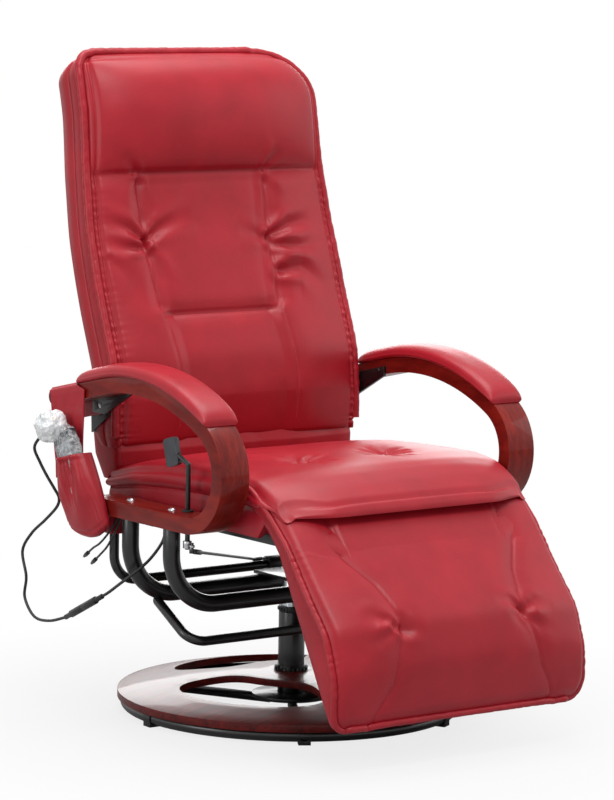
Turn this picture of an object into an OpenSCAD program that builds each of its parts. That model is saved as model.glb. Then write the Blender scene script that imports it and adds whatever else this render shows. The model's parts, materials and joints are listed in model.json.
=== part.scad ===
// Swivel recliner with a joined footrest, curved wooden arms and a round wooden base.
// Millimetres. The origin is the floor point under the column axis, +Z is up,
// the chair faces -Y and the sitter's left hand is on +X.

/* [Base] */
// diameter of the wooden base plate
disc_d = 580; // [480:5:680]
// thickness of the wooden base plate
disc_t = 12; // [9:1:18]
// height by which the middle of the base plate stands above its rim
disc_rise = 34; // [15:1:45]
// height of the top edge of the rim above the floor
rim_z = 34; // [30:1:48]
// thickness of the ring tube
ring_tube_d = 20; // [16:1:24]
// wall of the ring tube
ring_wall = 2; // [1.5:0.5:3]
// thickness of the plastic foot clips round the ring tube
clip_t = 4; // [3:0.5:6]
// length of a foot clip along the ring
clip_w = 20; // [14:1:28]
// number of foot clips
clip_n = 6; // [3:1:8]
// outer radius of the three windows in the base plate
window_out = 222; // [180:2:250]
// inner radius of the windows
window_in = 86; // [60:2:110]
// half of the angle that one window spans
window_half = 44; // [30:1:50]
// diameter of the three spoke tubes
spoke_d = 16; // [12:1:20]
// diameter of the hub plate under the base plate
hub_d = 130; // [100:2:160]
// thickness of the hub plate
hub_t = 6; // [4:1:8]

/* [Column] */
// outer diameter of the column tube
column_d = 44; // [38:1:54]
// wall of the column tube
column_wall = 3; // [2:0.5:4]
// height of the column top above the floor
column_top = 166; // [150:1:180]
// diameter of the toothed collar on the base plate
collar_d = 56; // [50:1:70]
// height of the toothed collar
collar_h = 8; // [5:1:14]
// teeth round the collar
collar_teeth = 24; // [12:2:40]
// diameter of the turning post inside the column
post_d = 34; // [28:1:36]
// height of the knurled cap ring on the column
cap_h = 9; // [6:1:14]

/* [Frame] */
// diameter of the two big U tubes
u_d = 28; // [24:1:34]
// wall of the frame tubes
tube_wall = 2; // [1.5:0.5:3]
// height of the horizontal part of the U tubes
u_z = 208; // [195:1:230]
// bend radius of the U tubes
u_bend = 88; // [60:1:110]
// place of the rear U tube
u_rear_y = 55; // [40:1:75]
// place of the front U tube
u_front_y = -62; // [-80:1:-45]
// width of the centre plate on the two U tubes
plate_w = 60; // [50:1:90]
// thickness of the centre plate
plate_t = 6; // [4:1:8]
// diameter of the thin cross tube and of the lower hoop
thin_d = 16; // [12:1:20]
// place of the thin cross tube
cross_y = 102; // [90:1:125]
// height of the thin cross tube
cross_z = 227; // [215:1:240]
// bend radius of the thin cross tube
cross_bend = 44; // [30:1:60]
// height of the lower hoop
hoop_z = 143; // [130:1:160]
// place of the lower hoop
hoop_y = -43; // [-60:1:-40]
// distance of the ends of the lower hoop from the middles of the arms
hoop_inset = 56; // [42:1:90]
// bend radius of the lower hoop
hoop_bend = 30; // [24:1:44]

/* [Arms] */
// room between the seat and an arm
side_gap = 15; // [13:1:30]
// width of the laminated wood of an arm
arm_w = 54; // [44:1:64]
// thickness of the laminated wood
arm_t = 26; // [20:1:32]
// inner radius of the front bend
arm_front_r = 71; // [60:1:90]
// place of the centre of the front bend
arm_front_y = -140; // [-160:1:-120]
// height of the centre of the front bend
arm_front_z = 439; // [430:1:455]
// inner radius of the long top curve
arm_top_r = 385; // [340:5:430]
// place of the crown of the long top curve
arm_top_y = 10; // [0:1:20]
// place where the straight rear part starts
arm_rear_y = 100; // [80:1:120]
// length of the straight rear part
arm_rear_l = 152; // [140:1:220]
// rear end of the lower bar
bar_rear_y = 128; // [110:1:150]
// thickness of the leather arm pad
pad_t = 20; // [14:1:28]
// width of the leather arm pad
pad_w = 60; // [50:1:72]
// front end of the arm pad
pad_front_y = -196; // [-205:1:-180]
// rear end of the arm pad
pad_rear_y = 176; // [150:1:190]
// shank diameter of the bolts through the lower bar
bolt_d = 8; // [6:1:10]

/* [Back] */
// place of the recline pivot
pivot_y = 186; // [176:1:196]
// height of the recline pivot
pivot_z = 508; // [500:1:516]
// height of the lower end of the backrest
back_bottom = 438; // [436:1:450]
// height of the upper end of the backrest
back_top = 1084; // [1000:2:1180]
// place of the front edge of the backrest at its lower end
back_front_y = 157; // [150:1:166]
// thickness of the backrest at its edge
back_t = 84; // [74:1:100]
// thickness of the cushion at its edge
back_pad_t = 40; // [30:1:50]
// bulge of the backrest cushion
back_crown = 24; // [15:1:35]
// extra bulge of the head pillow
head_crown = 20; // [10:1:30]
// depth of the sewn channels
seam_depth = 11; // [6:1:16]
// thickness of the wooden panel behind the cushion
panel_t = 8; // [6:1:12]
// wall of the padded rear cover
cover_t = 9; // [6:1:14]
// diameter of the recline pivot bolts
pin_d = 10; // [8:1:12]
// largest recline angle
recline_max = 35; // [20:1:38]

/* [Seat] */
// half of the width of the seat and the footrest
seat_half = 250; // [215:1:255]
// height of the seat top at its middle
seat_top = 434; // [425:1:450]
// height of the seat underside
seat_bottom = 350; // [340:1:365]
// rear end of the seat
seat_rear_y = 176; // [165:1:200]
// front end of the seat lip
seat_front_y = -334; // [-345:1:-320]
// thickness of the plywood seat board
board_t = 12; // [9:1:15]
// size of the square seat rails
rail_w = 20; // [16:1:25]

/* [Footrest] */
// place of the footrest hinge
foot_y = -306; // [-312:1:-298]
// height of the footrest hinge
foot_z = 350; // [344:1:354]
// length of the footrest below its hinge
foot_l = 312; // [270:1:318]
// hanging angle of the footrest from the vertical
foot_tilt = 29; // [24:1:32]
// thickness of the footrest at its hinge
foot_t = 36; // [32:1:40]
// bow of the front edges of the footrest
foot_bow = 32; // [20:1:38]
// bulge of the footrest cushion
foot_crown = 20; // [10:1:26]
// diameter of the footrest hinge rod
hinge_d = 10; // [8:1:12]

/* [Lever] */
// place of the lever shaft along the arm
lever_y = -89; // [-110:1:-75]
// diameter of the lever shaft
lever_d = 8; // [6:1:10]
// height of the bend of the lever
lever_bend_z = 444; // [430:1:470]
// length of the bent upper part
lever_reach = 34; // [24:1:50]
// length of the paddle
paddle_l = 46; // [36:1:60]
// width of the paddle
paddle_w = 34; // [26:1:44]
// thickness of the paddle
paddle_t = 8; // [5:1:12]
// length of the crank under the lever
crank_l = 20; // [14:1:26]
// diameter of the release rod
rod_d = 5; // [4:0.5:6]

/* [Pouch] */
// width of the leather pouch
pouch_w = 118; // [100:1:140]
// height of the pouch
pouch_h = 236; // [200:2:260]
// depth of the pouch
pouch_t = 34; // [26:1:46]
// place of the middle of the pouch
pouch_y = 142; // [130:1:155]
// thickness of the leather
leather_t = 2.5; // [2:0.1:4]
// width of the handset
handset_w = 46; // [44:1:60]
// length of the handset
handset_l = 120; // [100:1:140]
// thickness of the handset
handset_t = 18; // [14:1:22]
// diameter of the handset cord
cord_d = 5; // [4:0.5:6]
// diameter of the power pigtail
lead_d = 3.6; // [3:0.2:5]

/* [Hidden] */
// clearances of running fits, loose holes and soft parts, as lengths
run_gap = 0.05;
loose_gap = 0.5;
soft_gap = 1;
seat_gap = 0.3;
leg_inset = 2;
lever_inset = 14;
mm = 1;

// widths that follow the seat, and the ring tube that follows the base plate
arm_half = seat_half + side_gap + arm_w / 2;
u_half = arm_half - leg_inset;
hoop_half = arm_half - hoop_inset;
back_half = seat_half - leg_inset;
lever_x = -arm_half + lever_inset;
ring_d = disc_d - ring_tube_d * 1.5;

ring_z = clip_t + ring_tube_d / 2;
dome_r = (disc_d * disc_d / 4 + disc_rise * disc_rise) / (2 * disc_rise);
dome_top = rim_z + disc_rise;
dome_c = dome_top - dome_r;
first_clip = -122;
spoke_first = 118;
window_first = -152;
hub_z = ring_z + spoke_d / 2;
screw_r = ring_d / 2 - ring_tube_d * 1.8;
u_top = arm_front_z - arm_front_r - arm_t;
bar_top = arm_front_z - arm_front_r;
plate_z = u_z + u_d / 2;
arm_top_z = arm_front_z - sqrt(pow(arm_top_r - arm_front_r, 2) - pow(arm_top_y - arm_front_y, 2));
arm_ro = arm_top_r + arm_t;
black = [0.13, 0.13, 0.14];
steel = [0.72, 0.73, 0.75];
wood = [0.42, 0.09, 0.06];
red = [0.70, 0.08, 0.12];

// curve of the front edge of the backrest, share of its height against share of its lean
back_share = [[0, 0], [0.135, 0.01], [0.223, 0.06], [0.3715, 0.316], [0.548, 0.575], [0.7, 0.727],
    [0.854, 0.82], [0.932, 0.9], [1, 1]];
back_h = back_top - back_bottom;
back_lean = back_h * 0.23;

function back_y(v) = back_front_y + back_lean * lookup(v, back_share);
function back_n(v) = let (a = max(v - 0.04, 0), b = min(v + 0.04, 1))
    atan2(back_y(b) - back_y(a), back_h * (b - a));
function dip(x, w) = exp(-x * x / (w * w));
function sat(x) = min(1, max(0, x));
function rounded(u, p) = 1 - pow(abs(u), p);

// closed form between a front and a rear surface; each function gives [x, y, z]
module form(front, rear, nu, nv) {
    ring = nu + 1;
    total = ring * (nv + 1);
    pts = concat(
        [for (j = [0 : nv]) for (i = [0 : nu]) front(2 * i / nu - 1, j / nv)],
        [for (j = [0 : nv]) for (i = [0 : nu]) rear(2 * i / nu - 1, j / nv)]);
    face = [for (j = [0 : nv - 1]) for (i = [0 : nu - 1]) for (k = [0, 1])
        let (a = j * ring + i) k == 0 ? [a, a + 1, a + ring] : [a + 1, a + ring + 1, a + ring]];
    back = [for (f = face) [f[0] + total, f[2] + total, f[1] + total]];
    low = [for (i = [0 : nu - 1]) for (k = [0, 1])
        k == 0 ? [i, i + total, i + 1] : [i + 1, i + total, i + 1 + total]];
    t0 = nv * ring;
    high = [for (i = [0 : nu - 1]) for (k = [0, 1])
        k == 0 ? [t0 + i + 1, t0 + i + total, t0 + i] : [t0 + i + 1, t0 + i + 1 + total, t0 + i + total]];
    left = [for (j = [0 : nv - 1]) for (k = [0, 1]) let (a = j * ring)
        k == 0 ? [a + ring, a + total, a] : [a + ring, a + ring + total, a + total]];
    right = [for (j = [0 : nv - 1]) for (k = [0, 1]) let (a = j * ring + nu)
        k == 0 ? [a, a + total, a + ring] : [a + ring, a + total, a + ring + total]];
    polyhedron(pts, concat(face, back, low, high, left, right), convexity = 6);
}

// round rod or tube between two points
module rod(a, b, d) {
    v = b - a;
    l = norm(v);
    translate(a)
        rotate([0, acos(v[2] / l), atan2(v[1], v[0])])
            cylinder(d = d, h = l, $fn = 48);
}

// solid form of a U bent tube: legs up to the top height, level part at zero
module u_solid(half, top, bend, d) {
    for (s = [-1, 1])
        translate([s * half, 0, bend])
            cylinder(d = d, h = top - bend, $fn = 48);
    for (s = [0, 1])
        mirror([s, 0, 0])
            translate([half - bend, 0, bend])
                rotate([90, 0, 0])
                    rotate([0, 0, -90])
                        rotate_extrude(angle = 90, $fn = 96)
                            translate([bend, 0])
                                circle(d = d, $fn = 48);
    translate([-(half - bend), 0, 0])
        rotate([0, 90, 0])
            cylinder(d = d, h = 2 * (half - bend), $fn = 48);
}

module u_tube(half, top, bend, d, wall) {
    difference() {
        u_solid(half, top, bend, d);
        difference() {
            u_solid(half, top, bend, d - 2 * wall);
            for (s = [-1, 1])
                translate([s * half - d, -d, top - bolt_d * 1.5])
                    cube([2 * d, 2 * d, bolt_d * 1.5]);
        }
        for (s = [-1, 1])
            translate([s * half, 0, top - bolt_d * 4])
                cylinder(d = bolt_d + 2 * run_gap, h = bolt_d * 5, $fn = 48);
    }
}

// ---- base

module ring_tube() {
    color(black)
        translate([0, 0, ring_z])
            rotate_extrude($fn = 180)
                translate([ring_d / 2, 0])
                    difference() {
                        circle(d = ring_tube_d, $fn = 48);
                        circle(d = ring_tube_d - 2 * ring_wall, $fn = 48);
                    }
}

module foot_clips() {
    color([0.16, 0.16, 0.17])
        for (k = [0 : clip_n - 1])
            rotate([0, 0, first_clip + k * 360 / clip_n])
                intersection() {
                    difference() {
                        union() {
                            translate([0, 0, ring_z])
                                rotate_extrude($fn = 180)
                                    translate([ring_d / 2, 0])
                                        circle(d = ring_tube_d + clip_t, $fn = 48);
                            translate([ring_d / 2 - clip_w / 2, -clip_w / 2, 0])
                                cube([clip_w, clip_w, ring_z - ring_tube_d / 4]);
                        }
                        translate([0, 0, ring_z])
                            rotate_extrude($fn = 180)
                                translate([ring_d / 2, 0])
                                    circle(d = ring_tube_d + 2 * run_gap, $fn = 48);
                        for (j = [0 : 2])
                            rotate([0, 0, spoke_first - first_clip + j * 120 - k * 360 / clip_n])
                                translate([0, 0, ring_z])
                                    rotate([0, 90, 0])
                                        cylinder(d = spoke_d + 2 * run_gap, h = ring_d, $fn = 48);
                    }
                    translate([ring_d / 2 - ring_tube_d, -clip_w / 2, 0])
                        cube([2 * ring_tube_d, clip_w, ring_z + ring_tube_d / 2 - clip_t / 2]);
                }
}

module spokes() {
    color(black)
        for (k = [0 : 2])
            rotate([0, 0, spoke_first + k * 120])
                difference() {
                    translate([column_d / 2 + spoke_d, 0, ring_z])
                        rotate([0, 90, 0])
                            cylinder(d = spoke_d, h = ring_d / 2 - column_d / 2 - spoke_d, $fn = 48);
                    translate([column_d / 2 + spoke_d, 0, ring_z])
                        rotate([0, 90, 0])
                            cylinder(d = spoke_d - 2 * ring_wall, h = ring_d, $fn = 48);
                    translate([0, 0, ring_z])
                        rotate_extrude($fn = 180)
                            translate([ring_d / 2, 0])
                                circle(d = ring_tube_d + 2 * run_gap, $fn = 48);
                    translate([screw_r, 0, 0])
                        cylinder(d = screw_d + 2 * run_gap, h = rim_z, $fn = 32);
                }
}

module hub_plate() {
    color(black)
        translate([0, 0, hub_z])
            difference() {
                cylinder(d = hub_d, h = hub_t, $fn = 96);
                translate([0, 0, -hub_t / 2])
                    cylinder(d = post_d / 2, h = 2 * hub_t, $fn = 48);
            }
}

screw_d = 5 * mm;

module window_2d() {
    mid = (window_out + window_in) / 2;
    half = (window_out - window_in) / 2;
    n = 48;
    polygon([for (i = [0 : n - 1])
        let (t = i * 360 / n, c = cos(t), s = sin(t),
            a = window_first + window_half * sign(c) * pow(abs(c), 0.6),
            r = mid + half * sign(s) * pow(abs(s), 0.6))
        [r * cos(a), r * sin(a)]]);
}

module disc_solid() {
    intersection() {
        difference() {
            translate([0, 0, dome_c])
                sphere(r = dome_r, $fn = 180);
            translate([0, 0, dome_c])
                sphere(r = dome_r - disc_t, $fn = 180);
        }
        cylinder(d = disc_d, h = dome_top * 2, $fn = 180);
    }
}

module base_disc() {
    color(wood)
        difference() {
            disc_solid();
            translate([0, 0, -disc_t])
                cylinder(d = column_d + 2 * loose_gap, h = dome_top * 2, $fn = 96);
            for (k = [0 : 2])
                rotate([0, 0, k * 120])
                    translate([0, 0, -disc_t])
                        linear_extrude(height = dome_top * 2)
                            window_2d();
            for (k = [0 : 2])
                rotate([0, 0, spoke_first + k * 120])
                    translate([screw_r, 0, 0])
                        cylinder(d = screw_d + 2 * run_gap, h = screw_top + run_gap, $fn = 32);
        }
}

screw_top = dome_c + sqrt(dome_r * dome_r - screw_r * screw_r) - disc_t * 0.35;
spacer_d = 20 * mm;

module disc_spacers() {
    color([0.10, 0.10, 0.10])
        for (k = [0 : 2])
            rotate([0, 0, spoke_first + k * 120])
                difference() {
                    translate([screw_r, 0, ring_z])
                        cylinder(d = spacer_d, h = rim_z, $fn = 48);
                    translate([0, 0, ring_z])
                        rotate([0, 90, 0])
                            cylinder(d = spoke_d + 2 * run_gap, h = ring_d, $fn = 48);
                    translate([0, 0, ring_z - spoke_d])
                        cube([ring_d, 3 * spacer_d, 2 * spoke_d], center = true);
                    difference() {
                        translate([0, 0, dome_c])
                            sphere(r = dome_r + disc_t, $fn = 180);
                        translate([0, 0, dome_c])
                            sphere(r = dome_r - disc_t - run_gap, $fn = 180);
                    }
                    translate([screw_r, 0, 0])
                        cylinder(d = screw_d + 2 * run_gap, h = dome_top, $fn = 32);
                }
}

module disc_screws() {
    color(steel)
        for (k = [0 : 2])
            rotate([0, 0, spoke_first + k * 120])
                translate([screw_r, 0, ring_z - spoke_d / 2 - screw_d * 0.6]) {
                    cylinder(d = screw_d * 1.9, h = screw_d * 0.6, $fn = 32);
                    translate([0, 0, screw_d * 0.6])
                        cylinder(d = screw_d, h = screw_top - ring_z + spoke_d / 2, $fn = 32);
                }
}

module column() {
    color(black)
        translate([0, 0, hub_z + hub_t])
            difference() {
                cylinder(d = column_d, h = column_top - hub_z - hub_t, $fn = 96);
                translate([0, 0, -hub_t])
                    cylinder(d = column_d - 2 * column_wall, h = column_top, $fn = 96);
            }
}

module column_collar() {
    color([0.11, 0.11, 0.12])
        difference() {
            union() {
                translate([0, 0, dome_top])
                    cylinder(d = collar_d - collar_h / 2, h = collar_h, $fn = 96);
                for (k = [0 : collar_teeth - 1])
                    rotate([0, 0, k * 360 / collar_teeth])
                        translate([collar_d / 2 - collar_h / 2, -collar_h / 5, dome_top])
                            cube([collar_h / 2, collar_h / 2.5, collar_h * 0.6]);
            }
            translate([0, 0, dome_top - collar_h])
                cylinder(d = column_d + 2 * run_gap, h = 3 * collar_h, $fn = 96);
        }
}

module column_bushings() {
    color([0.85, 0.84, 0.80])
        for (z = [hub_z + hub_t * 3, column_top - column_d])
            translate([0, 0, z])
                difference() {
                    cylinder(d = column_d - 2 * column_wall - 2 * run_gap, h = column_d * 0.7, $fn = 96);
                    translate([0, 0, -run_gap])
                        cylinder(d = post_d + 2 * run_gap, h = column_d, $fn = 96);
                }
}

// ---- swivel frame

module swivel_post() {
    color(steel)
        difference() {
            translate([0, 0, hub_z + hub_t * 2])
                cylinder(d = post_d, h = plate_z - hub_z - hub_t * 2, $fn = 96);
            translate([0, 0, hub_z + hub_t])
                cylinder(d = post_d - 4 * tube_wall, h = plate_z - hub_z - hub_t * 3, $fn = 96);
        }
}

module column_cap() {
    color([0.10, 0.10, 0.11])
        translate([0, 0, column_top + loose_gap])
            difference() {
                union() {
                    cylinder(d = column_d, h = cap_h, $fn = 96);
                    for (k = [0 : collar_teeth - 1])
                        rotate([0, 0, k * 360 / collar_teeth])
                            translate([column_d / 2 - cap_h / 4, -cap_h / 6, cap_h / 4])
                                cube([cap_h / 2, cap_h / 3, cap_h / 2]);
                }
                translate([0, 0, -cap_h])
                    cylinder(d = post_d + 2 * run_gap, h = 3 * cap_h, $fn = 96);
            }
}

module centre_plate() {
    color(black)
        translate([-plate_w / 2, u_front_y - u_d / 2, plate_z])
            cube([plate_w, u_rear_y - u_front_y + u_d, plate_t]);
}

module front_u_tube() {
    color(black)
        translate([0, u_front_y, u_z])
            u_tube(u_half, u_top - u_z, u_bend, u_d, tube_wall);
}

module rear_u_tube() {
    color(black)
        translate([0, u_rear_y, u_z])
            u_tube(u_half, u_top - u_z, u_bend, u_d, tube_wall);
}

hoop_lean = atan2(u_rear_y - hoop_y, u_z - u_d / 2 - hoop_z + thin_d / 4);
hoop_leg = norm([u_rear_y - hoop_y, u_z - hoop_z]);

module lower_hoop() {
    color(black)
        difference() {
            translate([0, hoop_y, hoop_z])
                rotate([-hoop_lean, 0, 0])
                    difference() {
                        u_solid(hoop_half, hoop_leg, hoop_bend, thin_d);
                        u_solid(hoop_half, hoop_leg * 2, hoop_bend, thin_d - 2 * tube_wall);
                    }
            translate([0, u_rear_y, u_z])
                u_solid(u_half, u_top - u_z, u_bend, u_d + 2 * run_gap);
            translate([-u_half, u_rear_y, hoop_z])
                cube([2 * u_half, 4 * u_d, 4 * u_d]);
            translate([-u_half, hoop_y, u_z])
                cube([2 * u_half, 6 * u_d, 4 * u_d]);
        }
}

module cross_tube() {
    color(black)
        translate([0, cross_y, cross_z])
            difference() {
                u_solid(u_half, u_top - cross_z - sleeve_t, cross_bend, thin_d);
                u_solid(u_half, u_top - cross_z, cross_bend, thin_d - 2 * tube_wall);
            }
}

sleeve_w = thin_d * 2.1;
sleeve_t = thin_d * 0.5;

// leather covered end blocks that hold the thin cross tube under the lower bars
module cross_blocks() {
    color(red)
        for (s = [-1, 1])
            difference() {
                translate([s * u_half - thin_d * 0.9, cross_y - thin_d * 0.95, u_top - sleeve_w])
                    cube([thin_d * 1.8, sleeve_w, sleeve_w - run_gap]);
                translate([s * u_half, cross_y, u_top - sleeve_w - thin_d])
                    cylinder(d = thin_d + 2 * run_gap, h = sleeve_w + thin_d - sleeve_t, $fn = 48);
                translate([s * u_half, cross_y + thin_d * 0.72, u_top - sleeve_w * 0.42])
                    rotate([0, 90, 0])
                        cylinder(d = screw_d + 2 * run_gap, h = 4 * thin_d, center = true, $fn = 32);
            }
}

module block_screws() {
    color(steel)
        for (s = [0, 1])
            mirror([s, 0, 0])
                translate([-u_half - thin_d * 0.9 - screw_d * 0.5, cross_y + thin_d * 0.72,
                    u_top - sleeve_w * 0.42])
                    rotate([0, 90, 0]) {
                        cylinder(d = screw_d * 1.9, h = screw_d * 0.5, $fn = 32);
                        cylinder(d = screw_d, h = thin_d * 1.8, $fn = 32);
                    }
}

// ---- arms

arm_split = atan2(arm_front_y - arm_top_y, arm_front_z - arm_top_z);
arm_slope = asin((arm_rear_y - arm_top_y) / arm_ro);
arm_a0 = 90 - arm_split;
arm_a1 = 90 - arm_slope;
arm_n = 24;
function arm_arc(c, r, from, to, k) = let (a = from + (to - from) * k / arm_n) c + r * [cos(a), sin(a)];

// side view of the wood, x of the drawing is the length of the chair, y is the height
module arm_2d() {
    front = [arm_front_y, arm_front_z];
    top = [arm_top_y, arm_top_z];
    tip = top + (arm_ro - arm_t / 2) * [cos(arm_a1), sin(arm_a1)] + arm_rear_l * [sin(arm_a1), -cos(arm_a1)];
    bar = [bar_rear_y, u_top + arm_t / 2];
    polygon(concat(
        [for (k = [0 : arm_n]) arm_arc(front, arm_front_r + arm_t, 270, arm_a0, k)],
        [for (k = [1 : arm_n]) arm_arc(top, arm_ro, arm_a0, arm_a1, k)],
        [for (k = [0 : 3 : arm_n]) arm_arc(tip, arm_t / 2, arm_a1, arm_a1 - 180, k)],
        [for (k = [arm_n : -1 : 0]) arm_arc(top, arm_top_r, arm_a0, arm_a1, k)],
        [for (k = [arm_n - 1 : -1 : 0]) arm_arc(front, arm_front_r, 270, arm_a0, k)],
        [for (k = [0 : 3 : arm_n]) arm_arc(bar, arm_t / 2, 90, -90, k)]));
}

module arm_wood(s) {
    color(wood)
        difference() {
            translate([s * arm_half - arm_w / 2, 0, 0])
                rotate([90, 0, 90])
                    linear_extrude(height = arm_w)
                        arm_2d();
            for (y = [u_rear_y, u_front_y])
                translate([s * u_half, y, u_top - arm_t])
                    cylinder(d = bolt_d + 2 * run_gap, h = arm_t * 3, $fn = 32);
            if (s < 0)
                translate([lever_x, lever_y, u_top - arm_t])
                    cylinder(d = grommet_d + 2 * run_gap, h = arm_t * 3, $fn = 48);
        }
}

module arm_left() {
    arm_wood(1);
}

module arm_right() {
    arm_wood(-1);
}

// height of the top face of the wood
function arm_z(y) = y < arm_top_y + arm_ro * sin(arm_split)
    ? arm_front_z + sqrt(pow(arm_front_r + arm_t, 2) - pow(y - arm_front_y, 2))
    : y < arm_rear_y
    ? arm_top_z + sqrt(arm_ro * arm_ro - pow(y - arm_top_y, 2))
    : arm_top_z + (arm_ro - (y - arm_top_y) * sin(arm_slope)) / cos(arm_slope);
function pad_at(v) = pad_front_y + (pad_rear_y - pad_front_y) * v;
function pad_end(v) = pow(sat(1 - pow(abs(2 * v - 1), 14)), 0.5);
function pad_hw(v) = pad_w / 2 * (0.86 + 0.14 * pad_end(v)) * (1 - 0.16 * pow(sat((v - 0.55) / 0.45), 2));
function pad_top(u, v) = pad_t * (0.35 + 0.65 * pow(sat(1 - pow(abs(u), 4)), 0.5) * pad_end(v));

module arm_pad(s) {
    color(red)
        form(function (u, v) [s * arm_half - u * pad_hw(v), pad_at(v), arm_z(pad_at(v)) + pad_top(u, v)],
            function (u, v) [s * arm_half - u * pad_hw(v) * 0.94, pad_at(v), arm_z(pad_at(v))
                + soft_gap * 0.6],
            8, 18);
}

module arm_pad_left() {
    arm_pad(1);
}

module arm_pad_right() {
    arm_pad(-1);
}

module arm_bolts() {
    color(steel)
        for (s = [-1, 1])
            for (y = [u_rear_y, u_front_y])
                translate([s * u_half, y, 0]) {
                    translate([0, 0, u_top - bolt_d * 1.4])
                        cylinder(d = bolt_d, h = arm_t + bolt_d * 1.4, $fn = 32);
                    translate([0, 0, bar_top])
                        intersection() {
                            cylinder(d = bolt_d * 1.7, h = bolt_d, $fn = 48);
                            translate([0, 0, -bolt_d * 0.5])
                                sphere(r = bolt_d, $fn = 48);
                        }
                }
}

bracket_t = 5 * mm;
bracket_x = arm_half - arm_w / 2 - bracket_t - loose_gap * 0.2;
rail_t = 4 * mm;
rail_x = back_half + pin_d * 0.2;

// wedge plates under the rear of the arms, with a hole for the recline pivot
module recline_brackets() {
    under = arm_z(pivot_y) - arm_t / cos(arm_slope);
    color(black)
        for (s = [-1, 1])
            translate([s > 0 ? bracket_x : -bracket_x - bracket_t, 0, 0])
                rotate([90, 0, 90])
                    difference() {
                        linear_extrude(height = bracket_t)
                            polygon([[pivot_y - pin_d * 9, arm_z(pivot_y - pin_d * 9) - arm_t * 0.5],
                                [pivot_y - pin_d * 9, arm_z(pivot_y - pin_d * 9) - arm_t * 1.15],
                                [pivot_y - pin_d * 1.4, pivot_z - pin_d * 1.4],
                                [pivot_y + pin_d * 2.2, pivot_z - pin_d * 1.4],
                                [pivot_y + pin_d * 2.2, under + arm_t * 0.3],
                                [pivot_y, under + arm_t * 0.5]]);
                        translate([pivot_y, pivot_z, -bracket_t])
                            cylinder(d = pin_d + 2 * run_gap, h = 3 * bracket_t, $fn = 48);
                    }
}

// screws that hold the wedge plates on the wood
module bracket_screws() {
    color(black)
        for (s = [0, 1])
            mirror([s, 0, 0])
                for (k = [0, 1])
                    let (y = pivot_y + pin_d * (k * 7.4 - 7.6))
                        translate([bracket_x - screw_d * 0.5, y, arm_z(y) - arm_t * 0.72])
                            rotate([0, 90, 0])
                                cylinder(d = screw_d * 1.8, h = screw_d * 0.5 - run_gap, $fn = 32);
}

grommet_d = lever_d * 1.7;

module lever_grommet() {
    color([0.08, 0.08, 0.08])
        translate([lever_x, lever_y, 0])
            difference() {
                union() {
                    translate([0, 0, u_top])
                        cylinder(d = grommet_d, h = arm_t, $fn = 48);
                    translate([0, 0, bar_top])
                        cylinder(d = grommet_d * 1.4, h = lever_d * 0.35, $fn = 48);
                }
                translate([0, 0, u_top - arm_t])
                    cylinder(d = lever_d + 2 * run_gap, h = arm_t * 4, $fn = 48);
            }
}

// ---- release lock

latch_x = 34 * mm;
latch_w = 28 * mm;
latch_d = thin_d * 1.85;
latch_pin_r = (thin_d + latch_d) / 4;
// half of the angle that the lever turns
swing = 12.5;
// the sleeve at the end of the release rod stops short of the block
sleeve_x0 = latch_x - latch_w / 2 - 2 * crank_l * sin(swing) - rod_d * 3.7;

// lock block round the thin cross tube, with a bore for the release pin
module latch_block() {
    color([0.10, 0.10, 0.11])
        difference() {
            translate([latch_x - latch_w / 2, cross_y, cross_z])
                rotate([0, 90, 0])
                    cylinder(d = latch_d, h = latch_w, $fn = 64);
            translate([latch_x - latch_w, cross_y, cross_z])
                rotate([0, 90, 0])
                    cylinder(d = thin_d + 2 * run_gap, h = latch_w * 2, $fn = 64);
            translate([latch_x - latch_w, cross_y, cross_z + latch_pin_r])
                rotate([0, 90, 0])
                    cylinder(d = rod_d * 0.8 + 2 * run_gap, h = latch_w * 2, $fn = 32);
        }
}

// pin at the end of the release rod that slides through the lock block
module release_pin() {
    color(steel)
        translate([sleeve_x0 + rod_d * 2 + run_gap, cross_y, cross_z + latch_pin_r])
            rotate([0, 90, 0])
                cylinder(d = rod_d * 0.8, h = latch_w + rod_d * 1.7 + 2 * crank_l * sin(swing), $fn = 32);
}

// ---- lever and release rod

crank_z = u_top - lever_d * 3.4;

module lever_rod() {
    color(black) {
        translate([lever_x, lever_y, crank_z - lever_d])
            cylinder(d = lever_d, h = lever_bend_z - crank_z + lever_d, $fn = 48);
        translate([lever_x, lever_y, lever_bend_z])
            sphere(d = lever_d, $fn = 48);
        rod([lever_x, lever_y, lever_bend_z], paddle_c, lever_d);
    }
}

paddle_c = [lever_x, lever_y + lever_reach, lever_bend_z + lever_reach * 0.42];

module lever_paddle() {
    color([0.20, 0.21, 0.23])
        translate(paddle_c)
            rotate([-16, 0, 0])
                difference() {
                    intersection() {
                        translate([-paddle_t / 2, -paddle_w * 0.2, -paddle_l * 0.42])
                            cube([paddle_t, paddle_w, paddle_l]);
                        translate([0, paddle_w * 0.3, paddle_l * 0.08])
                            rotate([0, 90, 0])
                                cylinder(d = paddle_l * 1.12, h = paddle_t * 2, center = true, $fn = 64);
                    }
                    rotate([16, 0, 0])
                        rod([0, -lever_reach * 2, -lever_reach * 0.84], [0, 0, 0], lever_d + 2 * run_gap);
                }
}

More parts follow.
